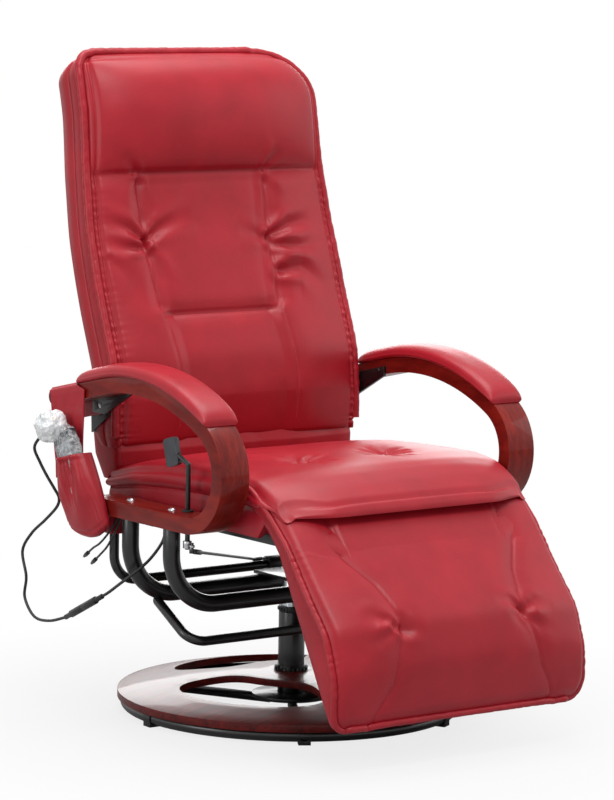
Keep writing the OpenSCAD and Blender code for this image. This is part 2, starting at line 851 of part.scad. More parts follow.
module lever_crank() {
    color(steel)
        translate([lever_x, lever_y, crank_z])
            rotate(-swing)
                difference() {
                    union() {
                        translate([0, 0, -lever_d * 0.7])
                            cylinder(d = lever_d * 1.8, h = lever_d * 1.4, $fn = 48);
                        translate([-lever_d * 0.35, -crank_l, -lever_d * 0.2])
                            cube([lever_d * 0.7, crank_l, lever_d * 0.4]);
                        translate([0, -crank_l, -lever_d * 0.2])
                            cylinder(d = lever_d * 1.1, h = lever_d * 0.4, $fn = 48);
                    }
                    translate([0, 0, -lever_d * 2])
                        cylinder(d = lever_d + 2 * run_gap, h = lever_d * 4, $fn = 48);
                    translate([0, -crank_l, -lever_d * 2])
                        cylinder(d = rod_d + 2 * loose_gap, h = lever_d * 4, $fn = 32);
                }
}

// the rod joins the tip of the crank and the release pin, both move along X
rod_a = [lever_x - crank_l * sin(swing), lever_y - crank_l * (1 + cos(swing)) / 2, crank_z - lever_d];
rod_b = [sleeve_x0 + rod_d, cross_y, cross_z + latch_pin_r];

module release_rod() {
    color(black) {
        rod(rod_a, rod_b, rod_d);
        rod(rod_a + (rod_b - rod_a) * 0.03, rod_a + (rod_b - rod_a) * 0.12, rod_d * 1.7);
    }
    color(steel) {
        translate(rod_a - [0, 0, rod_d * 0.6])
            cylinder(d = rod_d * 1.9, h = rod_d * 1.2, $fn = 32);
        translate(rod_a)
            cylinder(d = rod_d - 2 * run_gap, h = lever_d * 1.7, $fn = 32);
        translate([sleeve_x0, cross_y, cross_z + latch_pin_r])
            rotate([0, 90, 0])
                difference() {
                    cylinder(d = rod_d * 1.3, h = rod_d * 3.4, $fn = 32);
                    translate([0, 0, rod_d * 2])
                        cylinder(d = rod_d * 0.8 + 2 * run_gap, h = rod_d * 3, $fn = 32);
                }
    }
}

// ---- seat

board_z = seat_bottom;
rail_z = seat_bottom - rail_w;
rail_half = seat_half - rail_w * 2;
rail_front = foot_y + foot_t;

module seat_rails() {
    color(black)
        for (s = [-1, 1])
            translate([s * rail_half - rail_w / 2, rail_front, rail_z])
                difference() {
                    cube([rail_w, seat_rear_y - foot_y - foot_t * 1.7, rail_w - run_gap]);
                    translate([tube_wall, -tube_wall, tube_wall])
                        cube([rail_w - 2 * tube_wall, seat_rear_y * 4, rail_w - 2 * tube_wall]);
                }
}

// plates between the lower bars of the arms and the seat rails
module seat_brackets() {
    in = rail_half + rail_w / 2;
    out = arm_half + arm_w * 0.2;
    color(black)
        for (s = [-1, 1])
            for (y = [u_rear_y - u_d * 1.6, u_front_y + u_d * 1.6])
                translate([s > 0 ? in + run_gap : -out, y - u_d * 0.4, u_top - bracket_t - run_gap])
                    cube([out - in - run_gap, u_d * 0.8, bracket_t]);
}

module seat_board() {
    color([0.80, 0.66, 0.46])
        translate([-seat_half + board_t * 2, foot_y + foot_t, board_z])
            cube([2 * (seat_half - board_t * 2), seat_rear_y - foot_y - foot_t * 2, board_t]);
}

seat_l = seat_rear_y - seat_front_y;
function seat_at(v) = seat_front_y + seat_l * v;
// seat height: rolled front lip, level middle, low rear under the backrest
function seat_edge(v) = 1 - pow(sat(1 - v / 0.14), 2.2);
function seat_mid(y) = seat_top + (seat_top - seat_bottom) * 0.2 * dip(y - (seat_front_y + seat_l
    * 0.2), seat_l * 0.17)
    - (seat_top - seat_bottom) * 0.2 * sat((y - pivot_y + back_t * 0.55) / (back_t * 0.6));
function seat_crown(u) = 1 - 0.22 * pow(abs(u), 3.2);
function seat_tuft(u, v) = dip((abs(u) - 0.34) * seat_half, seat_half * 0.1) * dip((v - 0.39) * seat_l,
    seat_l * 0.045);
function seat_z(u, v) = let (y = seat_at(v), low = seat_bottom + (seat_top - seat_bottom) * 0.36)
    low + (seat_mid(y) - low) * seat_crown(u) * (0.22 + 0.78 * seat_edge(v)) - seam_depth * 1.2
        * seat_tuft(u, v);

module seat_cushion() {
    color(red)
        difference() {
            form(function (u, v) [-u * seat_half * (1 - 0.03 * pow(abs(u), 6)), seat_at(v), seat_z(u, v)],
                function (u, v) [-u * seat_half, seat_at(v) + foot_t * 0.08 * (1 - v),
                    seat_bottom + (v < 0.1 ? foot_t * 0.9 : abs(u) > 0.95 ? -foot_t * 0.17 : 0)],
                18, 22);
            translate([-seat_half + board_t * 2 - soft_gap, foot_y + foot_t - soft_gap,
                board_z - board_t])
                cube([2 * (seat_half - board_t * 2 + soft_gap), seat_rear_y - foot_y - foot_t * 2
                    + 2 * soft_gap,
                    board_t * 2 + soft_gap]);
        }
}

// ---- backrest

function back_edge(v) = 1 - 0.55 * pow(sat((v - 0.94) / 0.06), 2) - 0.25 * pow(sat((0.05 - v) / 0.05), 2);
function ease(t) = t * t * (3 - 2 * t);
function back_hw(v) = back_half
    * (1 - 0.075 * ease(sat((v - 0.42) / 0.45)) - 0.05 * pow(sat((v - 0.93) / 0.07), 2));
function back_seams(u, v) = max(
    dip((v - 0.69) * back_h, back_h * 0.016),
    v > 0.3 && v < 0.69 ? dip((abs(u) - 0.58) * back_half, back_half * 0.045) : 0,
    v <= 0.3 ? dip((abs(u) - 0.58 + (0.3 - v) * 0.35) * back_half, back_half * 0.045) * 0.8 : 0,
    abs(u) < 0.6 ? dip((v - 0.315) * back_h, back_h * 0.014) : 0);
function back_bulge(u, v) = back_crown * pow(rounded(u, 3), 0.7) * pow(sat(v / 0.12),
    0.5) * pow(sat((1 - v) / 0.05), 0.5)
    + head_crown * pow(rounded(u, 4), 0.6) * (v > 0.69 ? pow(sin(180 * sat((v - 0.69) / 0.3)), 0.6) : 0)
    - seam_depth * back_seams(u, v);
function back_pt(x, v, off) = let (a = back_n(v), y = back_y(v), z = back_bottom + back_h * v)
    [x, y - off * cos(a), max(z + off * sin(a), v <= 0 ? back_floor(y - off * cos(a)) : 0)];
// lowest height that keeps clear of the seat all the way round the pivot
function back_floor(y) = pivot_z - sqrt(max(pow(back_t, 2) - pow(y - pivot_y, 2), 0));

module back_cushion() {
    color(red)
        intersection() {
            form(function (u, v) back_pt(-u * back_hw(v) * (1 - 0.02 * pow(abs(u), 8)), v,
                back_bulge(u, v)),
                function (u, v) back_pt(-u * back_hw(v), v, -back_pad_t * back_edge(v)),
                20, 24);
        }
}

frame_in = back_pad_t + panel_t + seat_gap;

module back_panel() {
    color([0.80, 0.66, 0.46])
        form(function (u, v) back_pt(-u * (back_hw(v) - cover_t * 1.5), (1 + v * 20) / 24,
                -back_pad_t - seat_gap),
            function (u, v) back_pt(-u * (back_hw(v) - cover_t * 1.5), (1 + v * 20) / 24,
                -back_pad_t - seat_gap - panel_t),
            2, 20);
}

// padded rear cover, open to the front
module back_cover() {
    color(red)
        difference() {
            form(function (u, v) back_pt(-u * back_hw(v), v, -(back_pad_t + seat_gap) * back_edge(v)),
                function (u, v) back_pt(-u * back_hw(v), v,
                    -(back_t + cover_t * 0.3 * rounded(u, 2)) * back_edge(v)),
                6, 24);
            form(function (u, v) back_pt(-u * (back_hw(v) - cover_t), 0.03 + v * 0.86, -back_pad_t
                + soft_gap * 4),
                function (u, v) back_pt(-u * (back_hw(v) - cover_t), 0.03 + v * 0.86, -back_t + cover_t),
                2, 16);
        }
}

motor_v = [0.2708, 0.6042];

// seat of the lower and upper motors on the slightly curved panel, in seat gaps
motor_seat = [3.6, 3];

// vibration motors on the rear of the panel
module massage_motors() {
    color([0.30, 0.30, 0.32])
        for (k = [0, 1])
            for (s = [-1, 1])
                let (v = motor_v[k],
                    p = back_pt(s * back_half * 0.42, v, -frame_in - seat_gap * motor_seat[k]))
                    translate(p)
                        rotate([-90 - back_n(v), 0, 0])
                            cylinder(d = back_half * 0.24, h = back_t - frame_in - cover_t - soft_gap
                                * 3, $fn = 48);
}

plate_a = back_pt(0, 0.04, -back_t * 0.76);
plate_b = back_pt(0, 0.15, -back_t * 0.76);

// steel side plates of the backrest that turn on the pivot bolts
module back_side_plates() {
    color(black)
        for (s = [-1, 1])
            translate([s > 0 ? rail_x : -rail_x - rail_t, 0, 0])
                rotate([90, 0, 90])
                    difference() {
                        union() {
                            linear_extrude(height = rail_t)
                                polygon([[pivot_y - pin_d * 1.3, pivot_z - pin_d * 1.5],
                                    [plate_a[1] + pin_d * 0.6, plate_a[2] - pin_d * 0.6],
                                    [plate_b[1] + pin_d * 0.7, plate_b[2] + pin_d * 0.8],
                                    [pivot_y - pin_d * 1.3, pivot_z + pin_d * 1.5]]);
                            for (p = [plate_a, plate_b])
                                translate([p[1], p[2], s > 0 ? back_half - rail_x + run_gap : rail_t])
                                    cylinder(d = pin_d * 1.1, h = rail_x - back_half - run_gap, $fn = 48);
                        }
                        translate([pivot_y, pivot_z, -rail_t])
                            cylinder(d = pin_d + 2 * run_gap, h = 3 * rail_t, $fn = 48);
                    }
}

// spacer rings between the side plates and the wedge plates
module pivot_spacers() {
    color([0.85, 0.84, 0.80])
        for (s = [0, 1])
            mirror([s, 0, 0])
                translate([rail_x + rail_t + loose_gap * 0.4, pivot_y, pivot_z])
                    rotate([0, 90, 0])
                        difference() {
                            cylinder(d = pin_d * 2, h = bracket_x - rail_x - rail_t - loose_gap
                                * 0.4 - run_gap, $fn = 48);
                            translate([0, 0, -rail_t])
                                cylinder(d = pin_d + 2 * run_gap, h = 5 * rail_t, $fn = 48);
                        }
}

module pivot_bolts() {
    color(steel)
        for (s = [0, 1])
            mirror([s, 0, 0])
                translate([back_half + loose_gap, pivot_y, pivot_z])
                    rotate([0, 90, 0]) {
                        cylinder(d = pin_d * 1.7, h = rail_x - back_half - 2 * loose_gap, $fn = 48);
                        cylinder(d = pin_d, h = bracket_x + bracket_t - back_half - loose_gap, $fn = 48);
                    }
}

// ---- footrest

function foot_pt(x, d, off) = [x, foot_y - d * sin(foot_tilt) - off * cos(foot_tilt),
    foot_z - d * cos(foot_tilt) + off * sin(foot_tilt)];
foot_n = foot_t / 2;
function foot_round(v) = v < 0.09 ? max(0.2, sqrt(sat(1 - pow(1 - v / 0.09, 2)))) : 1;
function foot_d(v) = v < 0.09 ? -foot_n * (1 - v / 0.09) : foot_l * (v - 0.09) / 0.91;
// bow of the front edges, share of the length against share of the bow
foot_share = [[0, 0], [0.09, 0], [0.358, 0.44], [0.6, 1], [0.796, 0.66], [1, -0.5]];
function foot_arc(v) = 0.30 + 0.42 * pow(abs(v - 0.62) / 0.5, 1.7);
function foot_seams(u, v) = 0.8 * dip((abs(u) - (1 - foot_arc(v) * 0.98)) * seat_half,
    seat_half * 0.045) * sat(v / 0.1);
function foot_bulge(u, v) = foot_crown * pow(rounded(u, 3), 0.7) * pow(sin(180
    * sat((v - 0.06) / 1.0)), 0.7)
    - seam_depth * 0.7 * foot_seams(u, v);

module footrest_cushion() {
    color(red)
        difference() {
            form(function (u, v) foot_pt(u * seat_half * (1 - 0.03 * pow(abs(u), 6)), foot_d(v),
                    foot_n * foot_round(v) + foot_bow * lookup(v, foot_share) + foot_bulge(u, v)),
                function (u, v) foot_pt(u * seat_half, foot_d(v), -foot_n * foot_round(v)),
                16, 20);
            rotate_foot()
                translate([-seat_half + board_t * 2 - soft_gap, -foot_n - board_t, -foot_l * 0.92])
                    cube([2 * (seat_half - board_t * 2 + soft_gap), board_t * 1.8 + seat_gap, foot_l * 0.85]);
            translate([0, foot_y, foot_z])
                rotate([0, 90, 0])
                    cylinder(d = hinge_d + 2 * soft_gap, h = 4 * seat_half, center = true, $fn = 32);
            for (s = [-1, 1])
                rotate_foot()
                    translate([s * rail_half - ear_t / 2 - soft_gap, -foot_t, -hinge_d * 1.4])
                        cube([ear_t + 2 * soft_gap, foot_t + hinge_d * 1.1, foot_t * 1.4]);
        }
}

module rotate_foot() {
    translate([0, foot_y, foot_z])
        rotate([-foot_tilt, 0, 0])
            mirror([0, 1, 0])
                children();
}

module footrest_board() {
    color([0.16, 0.15, 0.15])
        rotate_foot()
            translate([-seat_half + board_t * 2, -foot_n - board_t * 0.1, -foot_l * 0.91])
                cube([2 * (seat_half - board_t * 2), board_t * 0.9, foot_l * 0.83]);
}

ear_t = 6 * mm;

// ears on the seat rails that carry the hinge rod
module hinge_ears() {
    color(black)
        for (s = [-1, 1])
            translate([s * rail_half - ear_t / 2, 0, 0])
                rotate([90, 0, 90])
                    difference() {
                        union() {
                            linear_extrude(height = ear_t)
                                polygon([[foot_y, foot_z - hinge_d * 0.9], [rail_front - run_gap,
                                    rail_z + tube_wall],
                                    [rail_front - run_gap, seat_bottom - tube_wall], [foot_y, foot_z
                                        + hinge_d * 0.3]]);
                            translate([foot_y, foot_z, 0])
                                cylinder(d = hinge_d * 1.8, h = ear_t, $fn = 48);
                        }
                        translate([foot_y, foot_z, -ear_t])
                            cylinder(d = hinge_d + 2 * run_gap, h = 3 * ear_t, $fn = 48);
                    }
}

module hinge_rod() {
    color(steel)
        translate([-seat_half, foot_y, foot_z])
            rotate([0, 90, 0])
                cylinder(d = hinge_d, h = 2 * seat_half, $fn = 48);
}

// ---- pouch, handset and cords

pouch_x = -arm_half - arm_w / 2 - soft_gap * 0.5 - leather_t;
pouch_top = arm_z(pouch_y) + leather_t;
pouch_low = pouch_top - pouch_h - pad_t;

// pocket: width, lean and depth against the share of its height
function pocket_half(v) = pouch_w * (0.47 - 0.16 * v * v) * (v < 0.1 ? 0.9 : 1);
function pocket_y(v) = pouch_y + pouch_w * (0.32 * v - 0.17);
function pocket_z(u, v) = pouch_low + pouch_h * (0.55 * v - 0.04 * u * v
    + (1 - v) * (0.11 * pow(sat(-u), 2.2) + 0.05 * pow(sat(u), 3)));
function pocket_depth(u, v) = pouch_t * (0.25 + 0.7 * pow(rounded(u, 4), 0.4))
    * (v < 0.05 ? 0.35 : v < 0.2 ? 0.86 : 1 + 0.06 * sin(180 * v));

module pouch_body() {
    inner = 1 - leather_t * 2.4 / pouch_w * 2;
    color(red)
        difference() {
            form(function (u, v) [pouch_x - pocket_depth(u, v), pocket_y(v) + u * pocket_half(v),
                    pocket_z(u, v)],
                function (u, v) [pouch_x, pocket_y(v) + u * pocket_half(v), pocket_z(u, v)],
                10, 10);
            form(function (u, v) [pouch_x - pocket_depth(u, v) + leather_t,
                    pocket_y(v) + u * pocket_half(v) * inner,
                    pocket_z(u, v) + leather_t * (v < 0.05 ? 2 : v > 0.95 ? 2 : 0)],
                function (u, v) [pouch_x - leather_t * (v < 0.05 ? 1.5 : 0.6),
                    pocket_y(v) + u * pocket_half(v) * inner,
                    pocket_z(u, v) + leather_t * (v < 0.05 ? 2 : v > 0.95 ? 2 : 0)],
                8, 10);
        }
}

strap_a = (pad_rear_y - arm_rear_y) / cos(arm_slope) + soft_gap * 3;
strap_l = pouch_w * 0.42;

// leather strap over the rear of the arm, with the back panel of the pouch
module pouch_strap() {
    in = arm_half - arm_w / 2 - soft_gap * 0.4;
    low = pouch_low + pouch_h * 0.16;
    color(red) {
        arm_rear_frame() {
            translate([pouch_x + run_gap, strap_a, -arm_t * 0.5])
                cube([leather_t - run_gap * 2, strap_l, arm_t * 0.5 + leather_t]);
            translate([pouch_x + leather_t - run_gap * 2, strap_a, seat_gap])
                cube([-in - pouch_x - leather_t + run_gap * 2, strap_l, leather_t - seat_gap]);
            translate([-in - run_gap, strap_a + strap_l * 0.7, -arm_t * 0.4])
                cube([leather_t, strap_l * 0.3, arm_t * 0.4 + leather_t]);
        }
        translate([pouch_x + run_gap, 0, 0])
            rotate([90, 0, 90])
                linear_extrude(height = leather_t - run_gap * 2)
                    polygon([[pouch_y - pouch_w * 0.15, arm_z(pouch_y - pouch_w * 0.15) - arm_t * 0.1],
                        [pouch_y - pouch_w * 0.24, pouch_low + pouch_h * 0.80],
                        [pouch_y - pouch_w * 0.12, pouch_low + pouch_h * 0.56],
                        [pouch_y - pouch_w * 0.50, low],
                        [pouch_y + pouch_w * 0.20, low],
                        [pouch_y + pouch_w * 0.42, pouch_low + pouch_h * 0.52],
                        [pouch_y + pouch_w * 0.70, pouch_low + pouch_h * 0.84],
                        [pouch_y + pouch_w * 0.72, arm_z(pouch_y + pouch_w * 0.72) - arm_t * 0.1]]);
    }
}

module arm_rear_frame() {
    translate([0, arm_top_y, arm_top_z])
        rotate([-arm_slope, 0, 0])
            translate([0, 0, arm_ro])
                children();
}

handset_c = [pouch_x - pouch_t * 0.5, pouch_y + pouch_w * 0.06, pouch_low + pouch_h * 0.48];
handset_tilt = 26;
handset_lean = 4;

module handset_frame() {
    translate(handset_c)
        rotate([-handset_tilt, 0, 0])
            rotate([0, -handset_lean, 0])
                children();
}

module handset_shell() {
    color([0.14, 0.14, 0.15])
        handset_frame()
            difference() {
                union() {
                    translate([0, 0, -handset_l / 2 + handset_w / 2])
                        rotate([0, 90, 0])
                            cylinder(d = handset_w, h = handset_t, center = true, $fn = 64);
                    translate([-handset_t / 2, -handset_w / 2, -handset_l / 2 + handset_w / 2])
                        cube([handset_t, handset_w, handset_l - handset_w / 2]);
                }
                translate([-handset_t / 2 - run_gap, -handset_w * 0.38, -handset_l * 0.34])
                    cube([key_t + run_gap, handset_w * 0.76, handset_l * 0.7]);
            }
}

key_t = 1.2 * mm;

// keypad membrane with raised keys
module handset_keypad() {
    color([0.55, 0.56, 0.58])
        handset_frame()
            translate([-handset_t / 2, 0, 0]) {
                translate([run_gap, -handset_w * 0.38 + run_gap, -handset_l * 0.34 + run_gap])
                    cube([key_t - 2 * run_gap, handset_w * 0.76 - 2 * run_gap,
                        handset_l * 0.7 - 2 * run_gap]);
                for (i = [-1, 0, 1])
                    for (k = [0 : 3])
                        translate([-key_t * 0.6, i * handset_w * 0.24, handset_l * (0.27 - k * 0.16)])
                            rotate([0, 90, 0])
                                cylinder(d = handset_w * 0.15, h = key_t, $fn = 32);
            }
}

// film bag tied round the cord: a sleeve over the handset and a puffed end behind the tie
film_t = 0.8 * mm;
film_low = handset_l * 0.27;
film_l = handset_l * 0.43;
function film_w(v) = handset_w * (0.6 - 0.43 * pow(sat((v - 0.7) / 0.3), 1.2));
function film_d(v) = handset_t * (0.82 - 0.34 * pow(sat((v - 0.7) / 0.3), 1.2));

module film_form(inset) {
    side = function (u, v, s) [s * (film_d(v) * (0.45 + 0.55 * pow(rounded(u, 2.2), 0.6)) - inset),
        u * (film_w(v) - inset), film_low + film_l * v + (inset > 0 && v == 0 ? -inset : -inset * 2 * v)];
    form(function (u, v) side(u, v, -1), function (u, v) side(u, v, 1), 8, 10);
}

film_c = [handset_c[0] - pouch_t * 0.36, handset_c[1] + handset_w * 1.12, handset_c[2] + handset_l * 0.52];
film_r = handset_w * 0.57;
cord_tie = handset_out(handset_l * 0.2);
cord_exit = film_c + [-0.47, 0.45, -0.70] * film_r;

module film_bag() {
    color([0.92, 0.93, 0.95, 0.5])
        difference() {
            union() {
                handset_frame()
                    film_form(0);
                translate(film_c)
                    sphere(r = film_r, $fn = 48);
            }
            handset_frame()
                film_form(film_t);
            translate(film_c)
                sphere(r = film_r - film_t, $fn = 48);
            rod(handset_out(0), cord_tie + (cord_tie - handset_out(0)) * 0.2, cord_d * 1.7);
            rod(cord_tie - (cord_exit - cord_tie) * 0.12, cord_exit + (cord_exit - cord_tie) * 0.3,
                cord_d * 1.8);
        }
}

// cords: smooth tube through chosen points
function spline(p, i, t) = let (a = p[max(i - 1, 0)], b = p[i], c = p[i + 1], d = p[min(i + 2, len(p) - 1)])
    0.5 * (2 * b + (c - a) * t + (2 * a - 5 * b + 4 * c - d) * t * t + (3 * b - a - 3 * c + d) * t * t * t);
function unit(v) = v / norm(v);

module cord_tube(p, d, n, sides) {
    c = [for (i = [0 : len(p) - 2]) for (k = [0 : n - 1]) spline(p, i, k / n), p[len(p) - 1]];
    m = len(c);
    pts = [for (i = [0 : m - 1])
        let (t = unit(c[min(i + 1, m - 1)] - c[max(i - 1, 0)]), a = unit(cross(t, [1, 0, 0.001])),
            b = cross(t, a))
        for (k = [0 : sides - 1]) c[i] + d / 2 * (a * cos(k * 360 / sides) + b * sin(k * 360 / sides))];
    polyhedron(pts, concat(
        [[for (k = [0 : sides - 1]) k]],
        [for (i = [0 : m - 2]) for (k = [0 : sides - 1]) for (h = [0, 1])
            let (a = i * sides + k, b = i * sides + (k + 1) % sides)
            h == 0 ? [a, a + sides, b] : [b, a + sides, b + sides]],
        [[for (k = [sides - 1 : -1 : 0]) (m - 1) * sides + k]]), convexity = 8);
}

function hang(d, y, z) = [pouch_x + d, y, z];
cord_points = [handset_out(seat_gap), handset_out(12), handset_out(20), cord_tie + [-1, 3, 0],
    cord_tie + (cord_exit - cord_tie) * 0.3, cord_tie + (cord_exit - cord_tie) * 0.65,
    cord_exit + (cord_exit - cord_tie) * 0.1, hang(-45, 226, 438), hang(-34, 226, 414),
    hang(-25, 218, 391), hang(-16, 210, 371), hang(-9, 206, 355), hang(-7, 216, 338), hang(-8, 249, 312),
    hang(-8, 290, 284), hang(-8, 318, 250), hang(-8, 306, 208), hang(-8, 310, 172), hang(-8, 280, 144),
    hang(-8, 234, 144), hang(-8, 184, 158)];
plug_a = hang(-8, 184, 158);
plug_b = hang(-8, 76, 210);
plug_dir = unit(plug_b - plug_a);
lead_points = [plug_b, hang(-6, 60, 219), hang(4, 44, 234), hang(22, 30, 252), hang(46, 20, 274),
    hang(66, 12, 304), hang(72, 10, 334.3)];
function handset_out(l) = handset_c + [0, sin(handset_tilt), cos(handset_tilt)] * (handset_l / 2 + l * mm)
    + [-(handset_l / 2 + l) * sin(handset_lean), 0, 0];

module handset_cord() {
    color([0.07, 0.07, 0.07])
        cord_tube(cord_points, cord_d, 4, 10);
}

module frame_lead() {
    color([0.07, 0.07, 0.07])
        cord_tube(lead_points, cord_d, 6, 10);
}

module cord_grommet() {
    color([0.09, 0.09, 0.09])
        translate(lead_points[6] + [0, 0, seat_gap * 2])
            difference() {
                cylinder(d = cord_d * 2.2, h = cord_d * 0.4, $fn = 32);
                translate([0, 0, -cord_d])
                    cylinder(d = cord_d * 0.5, h = cord_d * 4, $fn = 32);
            }
}

// two halves of the inline connector with their strain reliefs
module connector_half(a, dir, l) {
    rod(a, a + dir * l * 0.36, cord_d * 1.7);
    rod(a + dir * l * 0.34, a + dir * l, cord_d * 2.5);
}

module connector_male() {
    color([0.08, 0.08, 0.08])
        connector_half(plug_a, plug_dir, norm(plug_b - plug_a) * 0.48);
}

module connector_female() {
    color([0.08, 0.08, 0.08])
        connector_half(plug_b, -plug_dir, norm(plug_b - plug_a) * 0.515);
}

function below_bar(d, y, z) = [-arm_half + d, y, z];
pig_points = [below_bar(-4, 75, 341.9), below_bar(-6, 76, 330), below_bar(-17, 78, 308),
    below_bar(-19, 92, 288), below_bar(-14, 120, 270), below_bar(-10, 138, 260)];
pig2_points = [below_bar(-4, 81.4, 341.9), below_bar(-9, 82, 330), below_bar(-22, 86, 310),
    below_bar(-24, 106, 292), below_bar(-18, 134, 280), below_bar(-12, 158, 268)];

module power_leads() {
    color([0.07, 0.07, 0.07]) {
        cord_tube(pig_points, lead_d, 4, 8);
        cord_tube(pig2_points, lead_d, 4, 8);
    }
}

module lead_plug(p) {
    a = p[len(p) - 1];
    d = unit(a - p[len(p) - 2]);
    rod(a, a + d * lead_d * 3.8, lead_d * 1.9);
    rod(a + d * lead_d * 3.6, a + d * lead_d * 6, lead_d * 1.3);
}

module power_plugs() {
    color([0.08, 0.08, 0.08]) {
        lead_plug(pig_points);
        lead_plug(pig2_points);
    }
}

// the origin is on the floor, under the middle of the chair's box
function foot_front_y(v) = foot_pt(0, foot_d(v), foot_n * foot_round(v)
    + foot_bow * lookup(v, foot_share) + foot_bulge(0, v))[1];
function cover_rear_y(v) = back_pt(0, v, -(back_t + cover_t * 0.3) * back_edge(v))[1];
front_most = min([for (k = [0 : 20]) foot_front_y(k / 20)]);
rear_most = max([for (k = [0 : 24]) cover_rear_y(k / 24)]);
middle_x = (arm_half + pad_w / 2 + film_c[0] - film_r) / 2;
middle_y = (front_most + rear_most) / 2;

translate([-middle_x, -middle_y, 0]) {
    ring_tube();
    foot_clips();
    spokes();
    hub_plate();
    base_disc();
    disc_spacers();
    disc_screws();
    column();
    column_collar();
    column_bushings();
    swivel_post();
    column_cap();
    centre_plate();
    front_u_tube();
    rear_u_tube();
    lower_hoop();
    cross_tube();
    cross_blocks();
    block_screws();
    arm_left();
    arm_right();
    arm_pad_left();
    arm_pad_right();
    arm_bolts();
    recline_brackets();
    bracket_screws();
    lever_grommet();
    latch_block();
    release_pin();
    lever_rod();
    lever_paddle();
    lever_crank();
    release_rod();
    seat_rails();
    seat_brackets();
    seat_board();
    seat_cushion();
    back_cushion();
    back_panel();
    back_cover();
    massage_motors();
    back_side_plates();
    pivot_bolts();
    pivot_spacers();
    footrest_cushion();
    footrest_board();
    hinge_rod();
    hinge_ears();
    pouch_body();
    pouch_strap();
    handset_shell();
    handset_keypad();
    film_bag();
    handset_cord();
    connector_male();
    connector_female();
    frame_lead();
    cord_grommet();
    power_leads();
    power_plugs();
}
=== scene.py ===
import bmesh
import bpy
import json
import math
import numpy as np
from mathutils import Matrix, Vector

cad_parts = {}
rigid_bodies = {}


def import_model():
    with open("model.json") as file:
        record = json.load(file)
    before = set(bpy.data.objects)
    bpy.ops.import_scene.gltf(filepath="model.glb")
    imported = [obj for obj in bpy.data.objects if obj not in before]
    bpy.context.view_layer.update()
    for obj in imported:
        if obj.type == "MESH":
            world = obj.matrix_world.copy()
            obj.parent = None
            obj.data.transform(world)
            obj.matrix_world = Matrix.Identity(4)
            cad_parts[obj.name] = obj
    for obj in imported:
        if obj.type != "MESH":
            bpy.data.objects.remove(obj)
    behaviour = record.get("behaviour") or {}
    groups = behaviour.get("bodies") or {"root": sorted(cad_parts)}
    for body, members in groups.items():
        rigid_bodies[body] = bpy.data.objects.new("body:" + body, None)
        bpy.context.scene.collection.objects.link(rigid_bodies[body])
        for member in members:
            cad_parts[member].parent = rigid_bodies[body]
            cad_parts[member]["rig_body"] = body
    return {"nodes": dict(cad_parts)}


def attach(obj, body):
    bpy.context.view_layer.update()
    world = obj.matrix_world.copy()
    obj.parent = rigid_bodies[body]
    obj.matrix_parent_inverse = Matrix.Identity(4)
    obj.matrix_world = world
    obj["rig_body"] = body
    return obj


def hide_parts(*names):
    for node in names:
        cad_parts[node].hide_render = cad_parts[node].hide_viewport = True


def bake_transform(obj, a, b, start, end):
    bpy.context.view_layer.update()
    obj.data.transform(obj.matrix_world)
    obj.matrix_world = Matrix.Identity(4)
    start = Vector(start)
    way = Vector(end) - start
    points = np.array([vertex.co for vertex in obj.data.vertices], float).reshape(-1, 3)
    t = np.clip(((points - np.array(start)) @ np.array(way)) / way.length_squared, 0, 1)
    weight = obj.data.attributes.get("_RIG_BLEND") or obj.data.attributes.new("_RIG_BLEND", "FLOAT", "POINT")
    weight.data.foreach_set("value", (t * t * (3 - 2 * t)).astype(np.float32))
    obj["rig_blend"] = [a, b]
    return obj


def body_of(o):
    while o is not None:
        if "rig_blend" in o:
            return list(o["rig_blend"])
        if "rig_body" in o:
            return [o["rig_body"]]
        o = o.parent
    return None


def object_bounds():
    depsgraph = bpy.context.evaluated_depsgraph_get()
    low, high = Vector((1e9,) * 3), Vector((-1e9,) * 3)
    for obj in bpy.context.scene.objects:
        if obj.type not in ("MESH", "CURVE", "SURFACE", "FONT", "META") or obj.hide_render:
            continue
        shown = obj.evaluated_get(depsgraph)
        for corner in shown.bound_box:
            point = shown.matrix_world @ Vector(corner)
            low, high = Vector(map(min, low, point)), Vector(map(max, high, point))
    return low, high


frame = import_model()
solid_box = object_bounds()
scene = bpy.context.scene
MM = 0.001

# ---- Camera: a long lens at eye height, in front of the chair on the sitter's right.
# The picture is 614 by 800 pixels, and the lens is 3691.5 of them long. Places are
# counted from the axis of the column, which stands beside the origin of the frame.
column_at = np.array([0.02773, 0.0484107, 0])
eye = Vector((-3.63801, -4.85949, 1.29328)) + Vector(column_at)
heading, pitch, roll = (math.radians(a) for a in (-36.999, 7.251, 0.998))
forward = Vector((
    -math.sin(heading) * math.cos(pitch), math.cos(heading) * math.cos(pitch),
    -math.sin(pitch),
))
level = Vector((math.cos(heading), math.sin(heading), 0))
upward = level.cross(forward)
picture_x = level * math.cos(roll) + upward * math.sin(roll)
picture_y = upward * math.cos(roll) - level * math.sin(roll)


def new_object(name, data):
    """object in the scene that holds some data"""
    thing = bpy.data.objects.new(name, data)
    scene.collection.objects.link(thing)
    return thing


lens = bpy.data.cameras.new("camera")
lens.sensor_width = 36
lens.lens = 36 * 3691.5 / 800
lens.clip_end = 60
camera = new_object("camera", lens)
camera.matrix_world = Matrix.Translation(eye) @ Matrix(
    (picture_x, picture_y, -forward)
).transposed().to_4x4()
scene.camera = camera


# ---- Handset cord and connectors: a thin black PVC cord runs from the bagged handset,
# behind the pouch and down in a loose loop to a moulded in-line connector, from which
# a short lead goes up to a grommet in the right arm rail.
def shade(code):
    """sRGB hex colour as linear RGBA"""
    parts = [int(code[i : i + 2], 16) / 255 for i in (1, 3, 5)]
    return (*(c / 12.92 if c < 0.04045 else ((c + 0.055) / 1.055) ** 2.4 for c in parts), 1)


